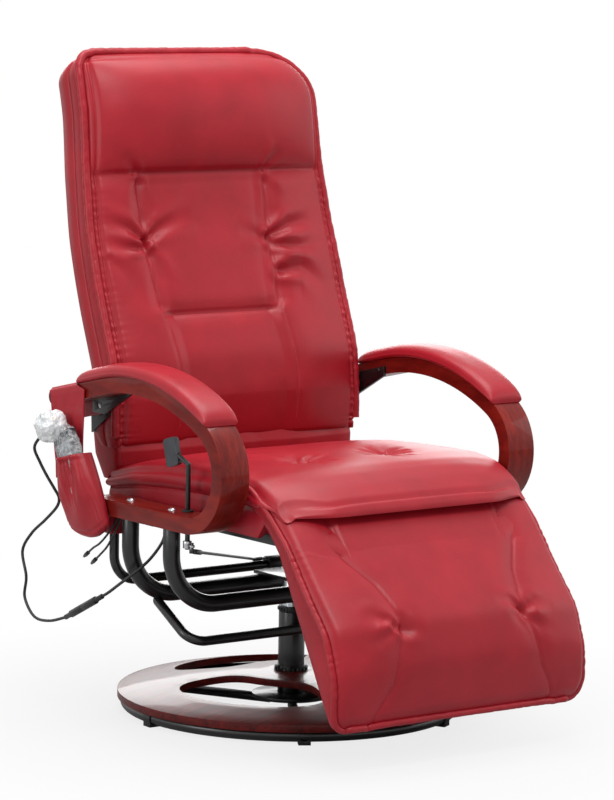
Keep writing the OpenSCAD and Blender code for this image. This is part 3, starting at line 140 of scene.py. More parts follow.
def add(tree, kind, values={}, links={}, **settings):
    """new node with its settings, its socket values and its incoming links"""
    node = tree.nodes.new(kind)
    for name, value in settings.items():
        setattr(node, name, value)
    for socket, value in values.items():
        node.inputs[socket].default_value = value
    for socket, (source, output) in links.items():
        tree.links.new(source.outputs[output], node.inputs[socket])
    return node


def noise(tree, spot, scale, detail=2.0, **values):
    values = {"Scale": scale, "Detail": detail, **values}
    return add(tree, "ShaderNodeTexNoise", values, {"Vector": spot}), "Fac"


def ranged(tree, source, low, high, start=0.0, stop=1.0):
    """a value from start to stop becomes one from low to high"""
    values = {"From Min": start, "From Max": stop, "To Min": low, "To Max": high}
    return add(tree, "ShaderNodeMapRange", values, {"Value": source}), "Result"


def ramp(tree, source, low, high, start=0.0, stop=1.0):
    """colour between two tones"""
    node = add(tree, "ShaderNodeValToRGB", links={"Fac": source})
    for knot, place, code in zip(node.color_ramp.elements, (start, stop), (low, high)):
        knot.position, knot.color = place, shade(code)
    return node, "Color"


def bump(tree, height, strength, depth, **links):
    """normal of a surface with a relief so many millimetres deep"""
    values = {"Strength": strength, "Distance": depth * MM}
    return add(tree, "ShaderNodeBump", values, {"Height": height, **links}), "Normal"


def feed(tree, shader, **sources):
    for socket, (node, output) in sources.items():
        tree.links.new(node.outputs[output], shader.inputs[socket.replace("_", " ")])


def new_finish(name, **values):
    """material with a Principled shader, and the place in the object"""
    material = bpy.data.materials.new(name)
    material.use_nodes = True
    tree = material.node_tree
    tree.nodes.clear()
    shader = add(tree, "ShaderNodeBsdfPrincipled")
    for socket, value in values.items():
        shader.inputs[socket.replace("_", " ")].default_value = value
    add(tree, "ShaderNodeOutputMaterial", links={"Surface": (shader, "BSDF")})
    return material, tree, shader, (add(tree, "ShaderNodeTexCoord"), "Object")


def grain_finish(name, low, high, scale, rough, bump_scale, bump_mm, strength, **values):
    """finish with clouded colour between two tones and one fine bumpy grain"""
    material, tree, shader, spot = new_finish(name, **values)
    cloud = noise(tree, spot, scale, 3.0)
    tone = ramp(tree, cloud, low, high, 0.35, 0.65)
    gloss = ranged(tree, cloud, *rough)
    grit = bump(tree, noise(tree, spot, bump_scale), strength, bump_mm)
    feed(tree, shader, Base_Color=tone, Roughness=gloss, Normal=grit)
    return material


# Soft PVC: extruded, a dull black with a faint waxy shine.
cord_pvc = grain_finish(
    "black_pvc_extruded", "#0B0B0C", "#141415", 40, (0.38, 0.5), 900, 0.05, 0.1, IOR=1.53
)


def through(points, steps=10):
    """smooth route through chosen points (Catmull-Rom)"""
    p = np.array(points, float)
    route = []
    for i in range(len(p) - 1):
        a, b = p[max(i - 1, 0)], p[i]
        c, d = p[i + 1], p[min(i + 2, len(p) - 1)]
        for t in np.arange(steps) / steps:
            curve = 2 * b + (c - a) * t + (2 * a - 5 * b + 4 * c - d) * t**2
            route.append(0.5 * (curve + (3 * b - a - 3 * c + d) * t**3))
    return np.array(route + [p[-1]])


def cord_curve(name, points, diameter, node):
    """round hanging cord along a route, which hides the CAD node it replaces"""
    route = through(points) * MM + column_at
    curve = bpy.data.curves.new(name, "CURVE")
    curve.dimensions = "3D"
    curve.bevel_depth = diameter / 2 * MM
    curve.bevel_resolution = 5
    curve.use_fill_caps = True
    line = curve.splines.new("POLY")
    line.points.add(len(route) - 1)
    for knot, at in zip(line.points, route):
        knot.co = (*at, 1)
    curve.materials.append(cord_pvc)
    cord = new_object(name, curve)
    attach(cord, "chair")
    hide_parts(node)


def dressed(node, finish, edge=0.6, angle=30, segments=2):
    """copy of a CAD node with its small edges eased, smooth shading and a finish"""
    source = frame["nodes"][node]
    mesh = source.data.copy()
    mesh.name = node + "_finished"
    mesh.transform(source.matrix_world)
    form = bmesh.new()
    form.from_mesh(mesh)
    bmesh.ops.remove_doubles(form, verts=form.verts, dist=2e-6)
    bmesh.ops.dissolve_limit(
        form, angle_limit=math.radians(0.6), verts=form.verts, edges=form.edges
    )
    form.to_mesh(mesh)
    form.free()
    mesh.materials.clear()
    mesh.materials.append(finish)
    piece = new_object(node + "_finished", mesh)
    if edge:
        ease = piece.modifiers.new("ease", "BEVEL")
        ease.width = edge * MM
        ease.segments = segments
        ease.limit_method = "ANGLE"
        ease.angle_limit = math.radians(angle)
        ease.harden_normals = False
        settle(piece)
    piece.data.shade_smooth()
    piece.data.set_sharp_from_angle(angle=math.radians(38))
    body = body_of(source)[0]
    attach(piece, body)
    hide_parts(node)
    return piece


def settle(piece):
    """turns what the modifiers give into the piece's own plain mesh"""
    graph = bpy.context.evaluated_depsgraph_get()
    graph.update()
    made = bpy.data.meshes.new_from_object(piece.evaluated_get(graph))
    piece.modifiers.clear()
    piece.data = made


# The route starts in the top of the handset, turns at the tie of the film bag, comes
# out of the bag's puffed end, passes behind the pouch and loops up to the connector.
CORD_D, LEAD_D, PIGTAIL_D = 5, 5, 3.6
handset_route = [
    (-343.206, 175.514, 468.721), (-344.022, 180.643, 479.237), (-344.581, 184.15, 486.428),
    (-345.86, 188.903, 490.023), (-350.471, 193.852, 480.587), (-357.017, 203.125, 469.578),
    (-365.434, 215.049, 455.425), (-367, 226, 438), (-356, 226, 414), (-347, 218, 391),
    (-338, 210, 371), (-331, 206, 355), (-329, 216, 338), (-330, 249, 312),
    (-330, 290, 284), (-330, 318, 250), (-330, 306, 208), (-330, 310, 172),
    (-330, 280, 144), (-330, 234, 144), (-330, 184, 158),
]
lead_route = [
    (-250, 10, 334.3), (-256, 12, 304), (-276, 20, 274), (-300, 30, 252), (-318, 44, 234),
    (-328, 60, 219), (-330, 76, 210),
]
pigtail_routes = [
    [
        (-296, 75, 341.9), (-298, 76, 330), (-309, 78, 308), (-311, 92, 288),
        (-306, 120, 270), (-302, 138, 260),
    ],
    [
        (-296, 81.4, 341.9), (-301, 82, 330), (-314, 86, 310), (-316, 106, 292),
        (-310, 134, 280), (-304, 158, 268),
    ],
]
# Moulded connector bodies: hard PVC, a little smoother than the cord.
plug_pvc = grain_finish(
    "black_pvc_moulded", "#0C0C0D", "#161618", 60, (0.32, 0.42), 700, 0.2, 0.15, IOR=1.53
)
connector_in = dressed("connector_male", plug_pvc, 0.3)
connector_out = dressed("connector_female", plug_pvc, 0.3)
plugs = dressed("power_plugs", plug_pvc, 0.2)
dressed("cord_grommet", plug_pvc, 0.2)
cord_curve("handset_cord_pvc", handset_route, CORD_D, "handset_cord")
cord_curve("frame_lead_pvc", lead_route, LEAD_D, "frame_lead")
for side, route in zip("ab", pigtail_routes):
    cord_curve("power_pigtail_" + side, route, PIGTAIL_D, "power_leads")


# ---- Backrest cushion: leather over foam, sewn from a head pillow, a middle panel with
# pinched side seams and a lumbar panel. The leather gathers into folds at the pinches,
# and a thick piping runs round its front edge.
def cells(tree, spot, scale):
    """distance to the edge of random cells"""
    kind = "ShaderNodeTexVoronoi"
    values = {"Scale": scale}
    return add(tree, kind, values, {"Vector": spot}, feature="DISTANCE_TO_EDGE"), "Distance"


def leather():
    """Semi-gloss bonded leather: pigmented and embossed, soft broad highlights."""
    material, tree, shader, spot = new_finish(
        "red_leather_embossed", IOR=1.5, Specular_IOR_Level=0.34
    )
    patches = noise(tree, spot, 14, 3.0, Roughness=0.55)
    tone = ramp(tree, patches, "#9C1422", "#AC1A29", 0.3, 0.7)
    # pebble cells of 1.6 mm, drawn as shallow as the real embossing
    valley = ranged(tree, cells(tree, spot, 1 / (1.6 * MM)), 0.0, 1.0, 0.0, 0.22)
    # sockets 6 and 7 of a colour mix are its two colours, and output 2 is the result
    # painted shade: the grooves between the pebble cells are drawn up to 12 per cent darker in the colour
    white = {0: 0.12, 6: (1, 1, 1, 1)}
    painted_groove_shade = add(tree, "ShaderNodeMix", white, {7: valley}, data_type="RGBA"), 2
    colour = add(
        tree, "ShaderNodeMix", {0: 1.0}, {6: tone, 7: painted_groove_shade},
        data_type="RGBA", blend_type="MULTIPLY",
    )
    # slack of the leather over the foam, ripples 40 mm apart and 1 mm deep
    ripple = bump(tree, noise(tree, spot, 25, 2.0, Distortion=0.4), 0.35, 1.2)
    pebble = bump(tree, valley, 0.16, 0.15, Normal=ripple)
    gloss = ranged(tree, patches, 0.36, 0.46)
    feed(tree, shader, Base_Color=(colour, 2), Roughness=gloss, Normal=pebble)
    return material


red_leather = leather()
BACK_HALF, BACK_LOW, BACK_HIGH = 248, 438, 1084
BACK_H = BACK_HIGH - BACK_LOW
BACK_PAD, BACK_T, EDGE_R = 40, 84, 11
PIVOT_Y, PIVOT_CLEAR_Z = 186, 508
BACK_FRONT_Y, BACK_LEAN, BACK_CROWN, HEAD_CROWN = 157, 148.58, 24, 25
PINCH_X, PINCH_V = (-154, 100), 0.498
HEAD_SEAM, LUMBAR_SEAM = 0.69, 0.326
# the front edge in side view: share of the height against share of the lean
lean_v = [0, 0.135, 0.223, 0.3715, 0.548, 0.7, 0.854, 0.932, 1]
lean_share = [0, 0.01, 0.06, 0.316, 0.575, 0.727, 0.82, 0.9, 1]
fine_v = np.linspace(0, 1, 401)
kernel = np.exp(-(np.linspace(-3, 3, 37) ** 2) / 2)
lean_fine = np.convolve(
    np.pad(np.interp(fine_v, lean_v, lean_share), 18, mode="reflect", reflect_type="odd"),
    kernel / kernel.sum(), mode="valid",
)


def sat(x):
    return np.clip(x, 0, 1)


def hump(x, width):
    return np.exp(-((x / width) ** 2))


def place(x, y, z):
    return np.stack(np.broadcast_arrays(x, y, z), axis=-1)


def back_front_y(v):
    return BACK_FRONT_Y + BACK_LEAN * np.interp(v, fine_v, lean_fine)


def back_point(x, v, off):
    """point of the backrest: across, share of its height, distance to the front"""
    low, high = sat(v - 0.04), sat(v + 0.04)
    turn = np.arctan2(back_front_y(high) - back_front_y(low), BACK_H * (high - low))
    y = back_front_y(v) - off * np.cos(turn)
    z = BACK_LOW + BACK_H * v + off * np.sin(turn)
    # the lower end is rounded about the pivot, clear of the seat
    clear = np.sqrt(np.maximum(BACK_T**2 - (y - PIVOT_Y) ** 2, 0))
    z = np.where(np.abs(y - PIVOT_Y) < BACK_T, np.maximum(z, PIVOT_CLEAR_Z - clear), z)
    return place(x, y, z)


def back_half_at(v):
    t = sat((v - 0.42) / 0.45)
    return BACK_HALF * (1 - 0.048 * t * t * (3 - 2 * t))


def corner_cut(v, corner):
    """how far a rounded top corner, so wide and so high, pulls the side in"""
    wide, high = corner
    down = np.minimum((1 - v) * BACK_H, high) / high
    return wide * (1 - np.sqrt(np.maximum(1 - (1 - down) ** 2, 0)))


RIGHT_CORNER, LEFT_CORNER = (118, 84), (26, 32)


def back_x(u, v):
    right = back_half_at(v) - corner_cut(v, RIGHT_CORNER)
    left = back_half_at(v) - corner_cut(v, LEFT_CORNER)
    return np.where(u > 0, u * right, u * left)


def crease(across, along, path, width, depth):
    """fold of the leather: a valley along a path with a soft ridge on each side"""
    path = np.array(path, float)
    best = np.full(np.broadcast(across, along).shape, 1e9)
    where = np.zeros_like(best)
    total = np.linalg.norm(np.diff(path, axis=0), axis=1)
    run = np.concatenate([[0], np.cumsum(total)]) / total.sum()
    for i in range(len(path) - 1):
        (start_x, start_y), (dx, dy) = path[i], path[i + 1] - path[i]
        t = sat(((across - start_x) * dx + (along - start_y) * dy) / total[i] ** 2)
        d = np.hypot(across - start_x - t * dx, along - start_y - t * dy)
        nearer = d < best
        where = np.where(nearer, run[i] + t * (run[i + 1] - run[i]), where)
        best = np.minimum(best, d)
    fade = (1 - where) ** 0.8
    wide = width * (0.7 + 0.9 * where)
    ridge = hump(best - 1.9 * wide, 1.1 * wide)
    return 1.25 * depth * fade * (0.55 * ridge - hump(best, wide))


# folds that leave the pinches: path as (across, share of the height), width and depth
back_folds = [
    ([(-154, 0.511), (-185, 0.548), (-238, 0.578)], 8, 7),
    ([(-158, 0.494), (-196, 0.498), (-236, 0.516)], 7, 6),
    ([(-226, 0.47), (-206, 0.42), (-190, 0.4)], 10, 3),
    ([(-152, 0.511), (-118, 0.545), (-56, 0.582)], 9, 6),
    ([(-152, 0.494), (-140, 0.45), (-132, 0.395)], 9, 4),
    ([(102, 0.51), (146, 0.54), (207, 0.55)], 9, 7),
    ([(104, 0.492), (165, 0.48), (214, 0.5)], 8, 6),
    ([(112, 0.42), (158, 0.428), (216, 0.365)], 11, 7),
    ([(98, 0.502), (68, 0.52), (40, 0.524)], 8, 3), ([(-160, 0.694), (-186, 0.74)], 7, 4),
    ([(106, 0.694), (132, 0.742)], 7, 4), ([(-150, 0.66), (-158, 0.6)], 10, 2.5),
    ([(110, 0.65), (128, 0.6)], 10, 2.5),
]


def left_seam(v):
    return np.interp(v, [0, 0.2, 0.326, 0.5, 0.69], [-128, -133, -144, -154, -154])


def right_seam(v):
    return np.interp(v, [0, 0.17, 0.326, 0.495, 0.69], [112, 112, 98, 100, 106])


def side_gathers(side, along, seed):
    """small puckers of the leather next to a gathered edge"""
    knots = np.linspace(0, 700, 60)
    phase = np.interp(along, knots, np.random.default_rng(seed).normal(0, 1.4, 60))
    size = np.interp(along, knots, np.random.default_rng(seed + 1).random(60))
    return size * np.sin(along / 13 * 2 * np.pi + phase) * np.exp(-side / 9)


def back_relief(u, v):
    """distance of the leather in front of the sewn edge"""
    x, along = back_x(u, v), v * BACK_H
    head = v > HEAD_SEAM
    rim = (1 - np.abs(u) ** 3).clip(0) ** 0.7
    near_top = sat(1 - (1 - v) / 0.1)
    off = BACK_CROWN * rim * sat(v / 0.12) ** 0.5 * np.sqrt(1 - near_top**2)
    pillow = np.sin(np.pi * sat((v - HEAD_SEAM) / 0.3)).clip(0) ** 0.55
    off = off + np.where(head, HEAD_CROWN * (1 - u**4).clip(0) ** 0.6 * pillow, 0)
    below = sat((HEAD_SEAM - v) / 0.03)
    inside = sat((x - left_seam(v)) / 22) * sat((right_seam(v) - x) / 22)
    off = off - 7 * inside * below
    # sewn channels: a narrow stitch groove in a wide soft valley
    for seam in (left_seam(v), right_seam(v)):
        d = np.abs(x - seam)
        upper = sat((v - LUMBAR_SEAM) / 0.02)
        valley = (2.2 + 2.8 * upper) * hump(d, 2.6) + (1.5 + 5 * upper) * hump(d, 17)
        off = off - below * valley
    for seam_x in PINCH_X:
        off = off - 8 * hump(np.hypot(x - seam_x, (v - PINCH_V) * BACK_H), 15)
    d = np.abs(along - HEAD_SEAM * BACK_H)
    off = off - (6 * hump(d, 3) + 6 * hump(d, 15) * np.where(head, 0.6, 1.1)) * rim
    d = np.abs(along - LUMBAR_SEAM * BACK_H)
    off = off - (5 * hump(d, 2.8) + 6 * hump(d, 15)) * inside**0.3
    for path, width, depth in back_folds:
        rising = [(px, pv * BACK_H) for px, pv in path]
        off = off + crease(x, along, rising, width, depth) * rim**0.7
    side = (1 - np.abs(u)) * BACK_HALF
    # the leather dips where it is sewn to the piping
    top_side = (1 - v) * BACK_H
    off = off - 5 * hump(side - 12, 4) - 4 * hump(top_side - 12, 4)
    off = off + 2.0 * side_gathers(side - 6, along, 3) * below
    off = off + 1.2 * side_gathers((1 - v) * BACK_H, x + 260, 8) * sat((u - 0.2) / 0.5)
    return off


def eased(distance, radius):
    """drop of a rounded edge at a distance from it"""
    d = np.clip(distance, 0, radius)
    return radius - np.sqrt(radius**2 - (radius - d) ** 2)


def spread(count, low, high, crowd=0.65):
    """values from low to high, closer together near both ends"""
    t = np.linspace(0, 1, count + 1)
    return low + (high - low) * (t - crowd * np.sin(2 * np.pi * t) / (2 * np.pi))


def sheet_faces(rows, columns, first=0):
    i = np.arange(rows - 1)[:, None] * columns + np.arange(columns - 1) + first
    return np.stack([i, i + 1, i + columns + 1, i + columns], -1).reshape(-1, 4)


def carry(piece, body):
    """the piece moves with one body, or bends between two of them"""
    if isinstance(body, str):
        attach(piece, body)
    else:
        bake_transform(piece, *body)


def make_piece(name, points, faces, finish, body, merge=0.02):
    """smooth mesh piece from points in millimetres"""
    mesh = bpy.data.meshes.new(name)
    mesh.from_pydata((np.asarray(points) * MM + column_at).tolist(), [], faces)
    form = bmesh.new()
    form.from_mesh(mesh)
    bmesh.ops.remove_doubles(form, verts=form.verts, dist=merge * MM)
    bmesh.ops.recalc_face_normals(form, faces=form.faces)
    form.to_mesh(mesh)
    form.free()
    mesh.materials.append(finish)
    mesh.shade_smooth()
    piece = new_object(name, mesh)
    carry(piece, body)
    return piece


def closed_pad(name, form, across, along, layers, body, node=None):
    """leather form with a front (w 0), a rear (w 1), two sides and two ends"""
    deep = np.linspace(0, 1, layers)
    points, faces, first = [], [], 0
    sides = [
        (across, along, lambda a, b: (a, b, 0.0)),
        (across, along, lambda a, b: (a, b, 1.0)), (deep, along, lambda a, b: (-1.0, b, a)),
        (deep, along, lambda a, b: (1.0, b, a)),
        (across, deep, lambda a, b: (a, along[0], b)),
        (across, deep, lambda a, b: (a, along[-1], b)),
    ]
    for first_values, second_values, at in sides:
        a, b = np.meshgrid(first_values, second_values)
        points.append(form(*np.broadcast_arrays(*at(a, b))).reshape(-1, 3))
        faces += sheet_faces(*a.shape, first).tolist()
        first += a.size
    points = np.concatenate(points)
    piece = make_piece(name, points, faces, red_leather, body)
    if node:
        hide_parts(node)


def side_bow(u, w, size):
    """bulge of both side panels"""
    return size * np.sin(np.pi * sat(w)) * (np.abs(u) > 0.9999) * np.sign(u)


def back_edge_drop(u, v):
    side = (1 - np.abs(u)) * BACK_HALF
    ends = np.minimum((1 - v) * BACK_H, v * BACK_H)
    return eased(np.minimum(side, ends), EDGE_R)


def back_taper(v):
    return 1 - 0.3 * sat((v - 0.94) / 0.06) ** 2 - 0.25 * sat((0.05 - v) / 0.05) ** 2


def back_cushion_at(u, v, w):
    front = back_relief(u, v) - back_edge_drop(u, v)
    off = front * (1 - w) - BACK_PAD * back_taper(v) * w
    return back_point(back_x(u, v) + side_bow(u, w, 2.0), v, off)


closed_pad(
    "back_cushion_leather", back_cushion_at, spread(190, -1, 1), spread(250, 0, 1), 9,
    "backrest", "back_cushion",
)


def back_cover_at(u, v, w):
    taper = back_taper(v)
    rear = (BACK_T + 2.7 * (1 - u**2)) * taper
    side = (1 - np.abs(u)) * BACK_HALF
    rear = rear - eased(np.minimum(side, (1 - v) * BACK_H), 16)
    near = (BACK_PAD + 0.3) * taper
    off = -(near * (1 - w) + rear * w)
    return back_point(back_x(u, v) + side_bow(u, w, 2.5), v, off)


closed_pad(
    "back_cover_leather", back_cover_at, spread(70, -1, 1), spread(110, 0, 1), 9,
    "backrest", "back_cover",
)


# ---- Seat cushion: leather over foam, a level middle with two button-like tufts, a
# rolled front lip over the footrest, and a rolled top edge above each side panel.
SEAT_HALF, SEAT_FRONT, SEAT_L = 250, -334, 510
tuft_x, tuft_y = 85, -135
TUFT_DEEP, TUFT_REACH, LIP_RECEDE, SIDE_ROLL = 10, 40, 26, 9
rng = np.random.default_rng(5)
tuft_folds = []
for side in (-1, 1):
    for ray in range(9):
        angle = 2 * math.pi * ray / 9 + rng.uniform(-0.25, 0.25)
        reach = rng.uniform(34, 62)
        bend = angle + rng.uniform(-0.4, 0.4)
        path = [(side * tuft_x + 7 * math.cos(angle), tuft_y + 7 * math.sin(angle))]
        for way in (angle, bend):
            x, y = path[-1]
            path.append((x + reach * 0.5 * math.cos(way), y + reach * 0.5 * math.sin(way)))
        tuft_folds.append((path, rng.uniform(3, 5), rng.uniform(2, 3.6)))


seat_top_y = [-334, -322, -305, -285, -260, -232, -180, -135, -60, 0, 60, 120, 160, 176]
seat_top_z = [391, 399, 411, 425, 437, 444, 447, 447, 447, 444, 436, 421, 407, 400]
seat_edge_y = [-334, -306, -290, -271, -232, -180, -120, 0, 100, 176]
seat_edge_z = [372, 386, 397, 411, 430, 438, 437, 432, 420, 400]
seat_y = np.arange(-380, 230)
soft = np.exp(-(np.linspace(-2.5, 2.5, 31) ** 2) / 2)


def softened(y, knots, values):
    """smooth line through a few measured heights"""
    dense = np.pad(np.interp(seat_y, knots, values), 15, mode="edge")
    return np.interp(y, seat_y, np.convolve(dense, soft / soft.sum(), mode="valid"))


def seat_cushion_at(u, v, w):
    # the lip is pinched at both ends
    end = sat((np.abs(u) - 0.62) / 0.38)
    front = SEAT_FRONT + LIP_RECEDE * end * end * (3 - 2 * end)
    x = u * SEAT_HALF * (1 - 0.03 * (1 - sat(v / 0.1)) ** 2)
    y = front + (SEAT_FRONT + SEAT_L - front) * v
    top = softened(y, seat_top_y, seat_top_z)
    edge = softened(y, seat_edge_y, seat_edge_z)
    top = top + (np.minimum(edge, top) - top) * np.abs(u) ** 5
    for side in (-1, 1):
        far = np.hypot(x - side * tuft_x, y - tuft_y)
        top = top - 6 * hump(far, 9) - TUFT_DEEP * hump(far, TUFT_REACH)
    for path, width, depth in tuft_folds:
        top = top + 1.4 * crease(x, y, path, width, depth)
    top = top - eased((1 - np.abs(u)) * SEAT_HALF, 13) * sat((y + 306) / 40)
    # a sewn groove sets off the lip, which rolls under at its front end
    top = top - 4.5 * hump(y - front - 17, 4.5) * (1 - end)
    top = top + 2.5 * hump(y - front - 8, 6) * (1 - end)
    top = top - eased(v * SEAT_L, 8) * (1 - end)
    under = 350 + 32.4 * sat((0.14 - v) / 0.05) - 6 * sat((np.abs(u) - 0.94) / 0.03)
    under = np.minimum(under, top - 0.4)
    top = top - (top - under - 0.6) * sat((np.abs(u) - 0.66) / 0.34) * sat(1 - v / 0.05)
    at_side = (np.abs(u) > 0.9999) * sat((v - 0.04) / 0.08)
    roll = SIDE_ROLL * np.sin(np.pi * sat(w / 0.34)) ** 0.7 - 4 * hump(w - 0.38, 0.035)
    panel = 1.5 * np.sin(np.pi * sat((w - 0.4) / 0.6))
    x = x + np.sign(u) * at_side * (roll + panel)
    z = top * (1 - w) + under * w
    return place(x, y, z)


closed_pad(
    "seat_cushion_leather", seat_cushion_at, spread(170, -1, 1), spread(180, 0, 1), 29,
    "chair", "seat_cushion",
)


# ---- Footrest cushion: the same leather carried down over a hinged board, bowed in
# side view, with two curved seams that are pinched where the calves rest.
FOOT_Y, FOOT_Z, FOOT_L, FOOT_TILT = -306, 350, 312, math.radians(29)
FOOT_FIRST, FOOT_RIM, FOOT_BOW, FOOT_CROWN = 18, 15, 32, 25


def foot_point(x, down, off):
    y = FOOT_Y - down * math.sin(FOOT_TILT) - off * math.cos(FOOT_TILT)
    z = FOOT_Z - down * math.cos(FOOT_TILT) + off * math.sin(FOOT_TILT)
    return place(x, y, z)


foot_arc_down = [-20, 7, 45, 104, 174, 216, 264, 312]
foot_arc_x = [262, 240, 176, 139, 118, 136, 150, 190]
foot_pinch = 178
foot_folds = [
    ([(-140, 178), (-112, 190), (-84, 186)], 7, 3.5),
    ([(-140, 172), (-168, 160), (-196, 166)], 9, 4),
    ([(-142, 184), (-172, 198), (-200, 192)], 8, 3),
    ([(122, 176), (100, 158), (70, 160)], 7, 3.5),
    ([(122, 180), (150, 166), (186, 176)], 9, 4),
    ([(124, 186), (150, 204), (180, 204)], 8, 3),
]


foot_bow_fine = np.convolve(
    np.pad(
        np.interp(fine_v, [0, 0.09, 0.358, 0.6, 0.796, 1], [0, 0, 0.44, 1, 0.66, -0.5]), 30,
        mode="reflect", reflect_type="odd",
    ),
    np.hanning(61) / np.hanning(61).sum(), mode="valid",
)


def foot_relief(u, down):
    v = np.clip(down + FOOT_FIRST, 0, 330) / 330
    bow_v = 0.09 + 0.91 * sat(down / FOOT_L)
    bow = FOOT_BOW * np.interp(bow_v, fine_v, foot_bow_fine)
    crowned = np.maximum(1 - np.abs(u) ** 3, 0) ** 0.7
    arch = np.maximum(np.sin(np.pi * sat(bow_v - 0.06)), 0) ** 0.7
    off = bow + FOOT_CROWN * crowned * arch
    x = u * SEAT_HALF
    for side in (-1, 1):
        seam = side * np.interp(down, foot_arc_down, foot_arc_x)
        d = np.abs(x - seam)
        off = off - 3.4 * hump(d, 2.6) - 3.5 * hump(d, 18)
        pinch = side * np.interp(foot_pinch, foot_arc_down, foot_arc_x)
        off = off - 9 * hump(np.hypot(x - pinch, down - foot_pinch), 17)
    rim = np.maximum(1 - u**8, 0)
    for path, width, depth in foot_folds:
        off = off + crease(x, down, path, width, depth) * rim
    side = (1 - np.abs(u)) * SEAT_HALF
    return off + 1.0 * side_gathers(side, down + 30, 31) * (v > 0.1)


def foot_half(u, down):
    radius = np.where(u > 0, 34, 20)
    left = np.minimum(FOOT_L - down, radius)
    return SEAT_HALF - (radius - np.sqrt(np.maximum(radius**2 - (radius - left) ** 2, 0)))


def footrest_at(u, v, w):
    down = -FOOT_FIRST + (FOOT_L + FOOT_FIRST) * v
    side = (1 - np.abs(u)) * SEAT_HALF
    drop = eased(np.minimum(side, FOOT_L - down), FOOT_RIM)
    round_top = np.sqrt(np.clip(1 - sat(-down / FOOT_FIRST) ** 2, 0.04, 1))
    relief = foot_relief(u, down) * sat((down + FOOT_FIRST) / 24)
    front = FOOT_FIRST * round_top + relief - drop
    rear = -FOOT_FIRST * round_top
    x = u * foot_half(u, down) + side_bow(u, w, 2.2)
    return foot_point(x, down, front * (1 - w) + rear * w)


closed_pad(
    "footrest_leather", footrest_at, spread(170, -1, 1), spread(150, 0, 1), 13,
    "footrest", "footrest_cushion",
)


# ---- Piping: a leather strip folded round a cord and sewn into the edge, puckered
# where it is gathered. It borders the backrest, the front of the seat and the footrest.
def maths(tree, operation, first, second):
    """an operation on two values, each a number or an output of a node"""
    terms = {0: first, 1: second}
    numbers = {k: term for k, term in terms.items() if not isinstance(term, tuple)}
    sources = {k: term for k, term in terms.items() if isinstance(term, tuple)}
    return add(tree, "ShaderNodeMath", numbers, sources, operation=operation), "Value"


def line_group(name, lengths, finish, result):
    """node group that takes a line, some lengths and a finish"""
    tree = bpy.data.node_groups.new(name, "GeometryNodeTree")
    kinds = {"Line": "Geometry", **dict.fromkeys(lengths, "Float"), finish: "Material"}
    for label, kind in kinds.items():
        socket = tree.interface.new_socket(label, socket_type="NodeSocket" + kind)
        if kind == "Float":
            socket.default_value = lengths[label]
    tree.interface.new_socket(result, in_out="OUTPUT", socket_type="NodeSocketGeometry")
    inlet = add(tree, "NodeGroupInput")
    curve = add(tree, "GeometryNodeMeshToCurve", links={"Mesh": (inlet, "Line")})
    return tree, inlet, (curve, "Curve")


def give_mesh(tree, inlet, shape, finish, result):
    """ends a group with the real mesh of a shape in its finish"""
    real = add(tree, "GeometryNodeRealizeInstances", links={"Geometry": shape})
    links = {"Geometry": (real, "Geometry"), "Material": (inlet, finish)}
    coated = add(tree, "GeometryNodeSetMaterial", links=links)
    add(tree, "NodeGroupOutput", links={result: (coated, "Geometry")})
    return tree


def piping_tree():
    """nodes that sweep a puckered round welt along a line"""
    lengths = {"Radius": 0.005, "Pucker depth": 0.0006, "Puckers per metre": 70.0}
    tree, inlet, line = line_group("sewn_piping", lengths, "Leather", "Piping")
    even = add(
        tree, "GeometryNodeResampleCurve", {"Length": 0.0022}, {"Curve": line}, mode="LENGTH"
    )
    ring = add(
        tree, "GeometryNodeCurvePrimitiveCircle", {"Resolution": 14},
        {"Radius": (inlet, "Radius")},
    )
    welt = add(
        tree, "GeometryNodeCurveToMesh", {"Fill Caps": True},
        {"Curve": (even, "Curve"), "Profile Curve": (ring, "Curve")},
    )
    where = add(tree, "GeometryNodeInputPosition")
    puckers = add(
        tree, "ShaderNodeTexNoise", {"Detail": 1.0, "Distortion": 0.6},
        {"Vector": (where, "Position"), "Scale": (inlet, "Puckers per metre")},
    )
    centred = maths(tree, "SUBTRACT", (puckers, "Fac"), 0.5)
    double = maths(tree, "MULTIPLY", centred, 2.0)
    amount = maths(tree, "MULTIPLY", double, (inlet, "Pucker depth"))
    facing = add(tree, "GeometryNodeInputNormal")
    links = {0: (facing, "Normal"), "Scale": amount}
    shift = add(tree, "ShaderNodeVectorMath", links=links, operation="SCALE")
    links = {"Geometry": (welt, "Mesh"), "Offset": (shift, "Vector")}
    moved = add(tree, "GeometryNodeSetPosition", links=links)
    smooth = add(tree, "GeometryNodeSetShadeSmooth", links={"Geometry": (moved, "Geometry")})
    return give_mesh(tree, inlet, (smooth, "Geometry"), "Leather", "Piping")


def grown(name, points, tree, body, slot, **inputs):
    """runs a node tree on a line through points and keeps the plain mesh"""
    line = bpy.data.meshes.new(name + "_line")
    line.from_pydata(
        (np.asarray(points) * MM + column_at).tolist(),
        [(i, i + 1) for i in range(len(points) - 1)], [],
    )
    piece = new_object(name, line)
    step = piece.modifiers.new("grow", "NODES")
    step.node_group = tree
    for item in tree.interface.items_tree:
        key = item.name.replace(" ", "_").lower()
        if item.item_type == "SOCKET" and key in inputs:
            step[item.identifier] = inputs[key]
    settle(piece)
    carry(piece, body)
    return piece


piping = piping_tree()


def sewn_piping(name, points, body, radius, pucker, per_metre=70.0):
    """piping in the red leather along a line"""
    piece = grown(
        name, points, piping, body, "red_leather", radius=radius * MM,
        pucker_depth=pucker * MM, puckers_per_metre=per_metre, leather=red_leather,
    )


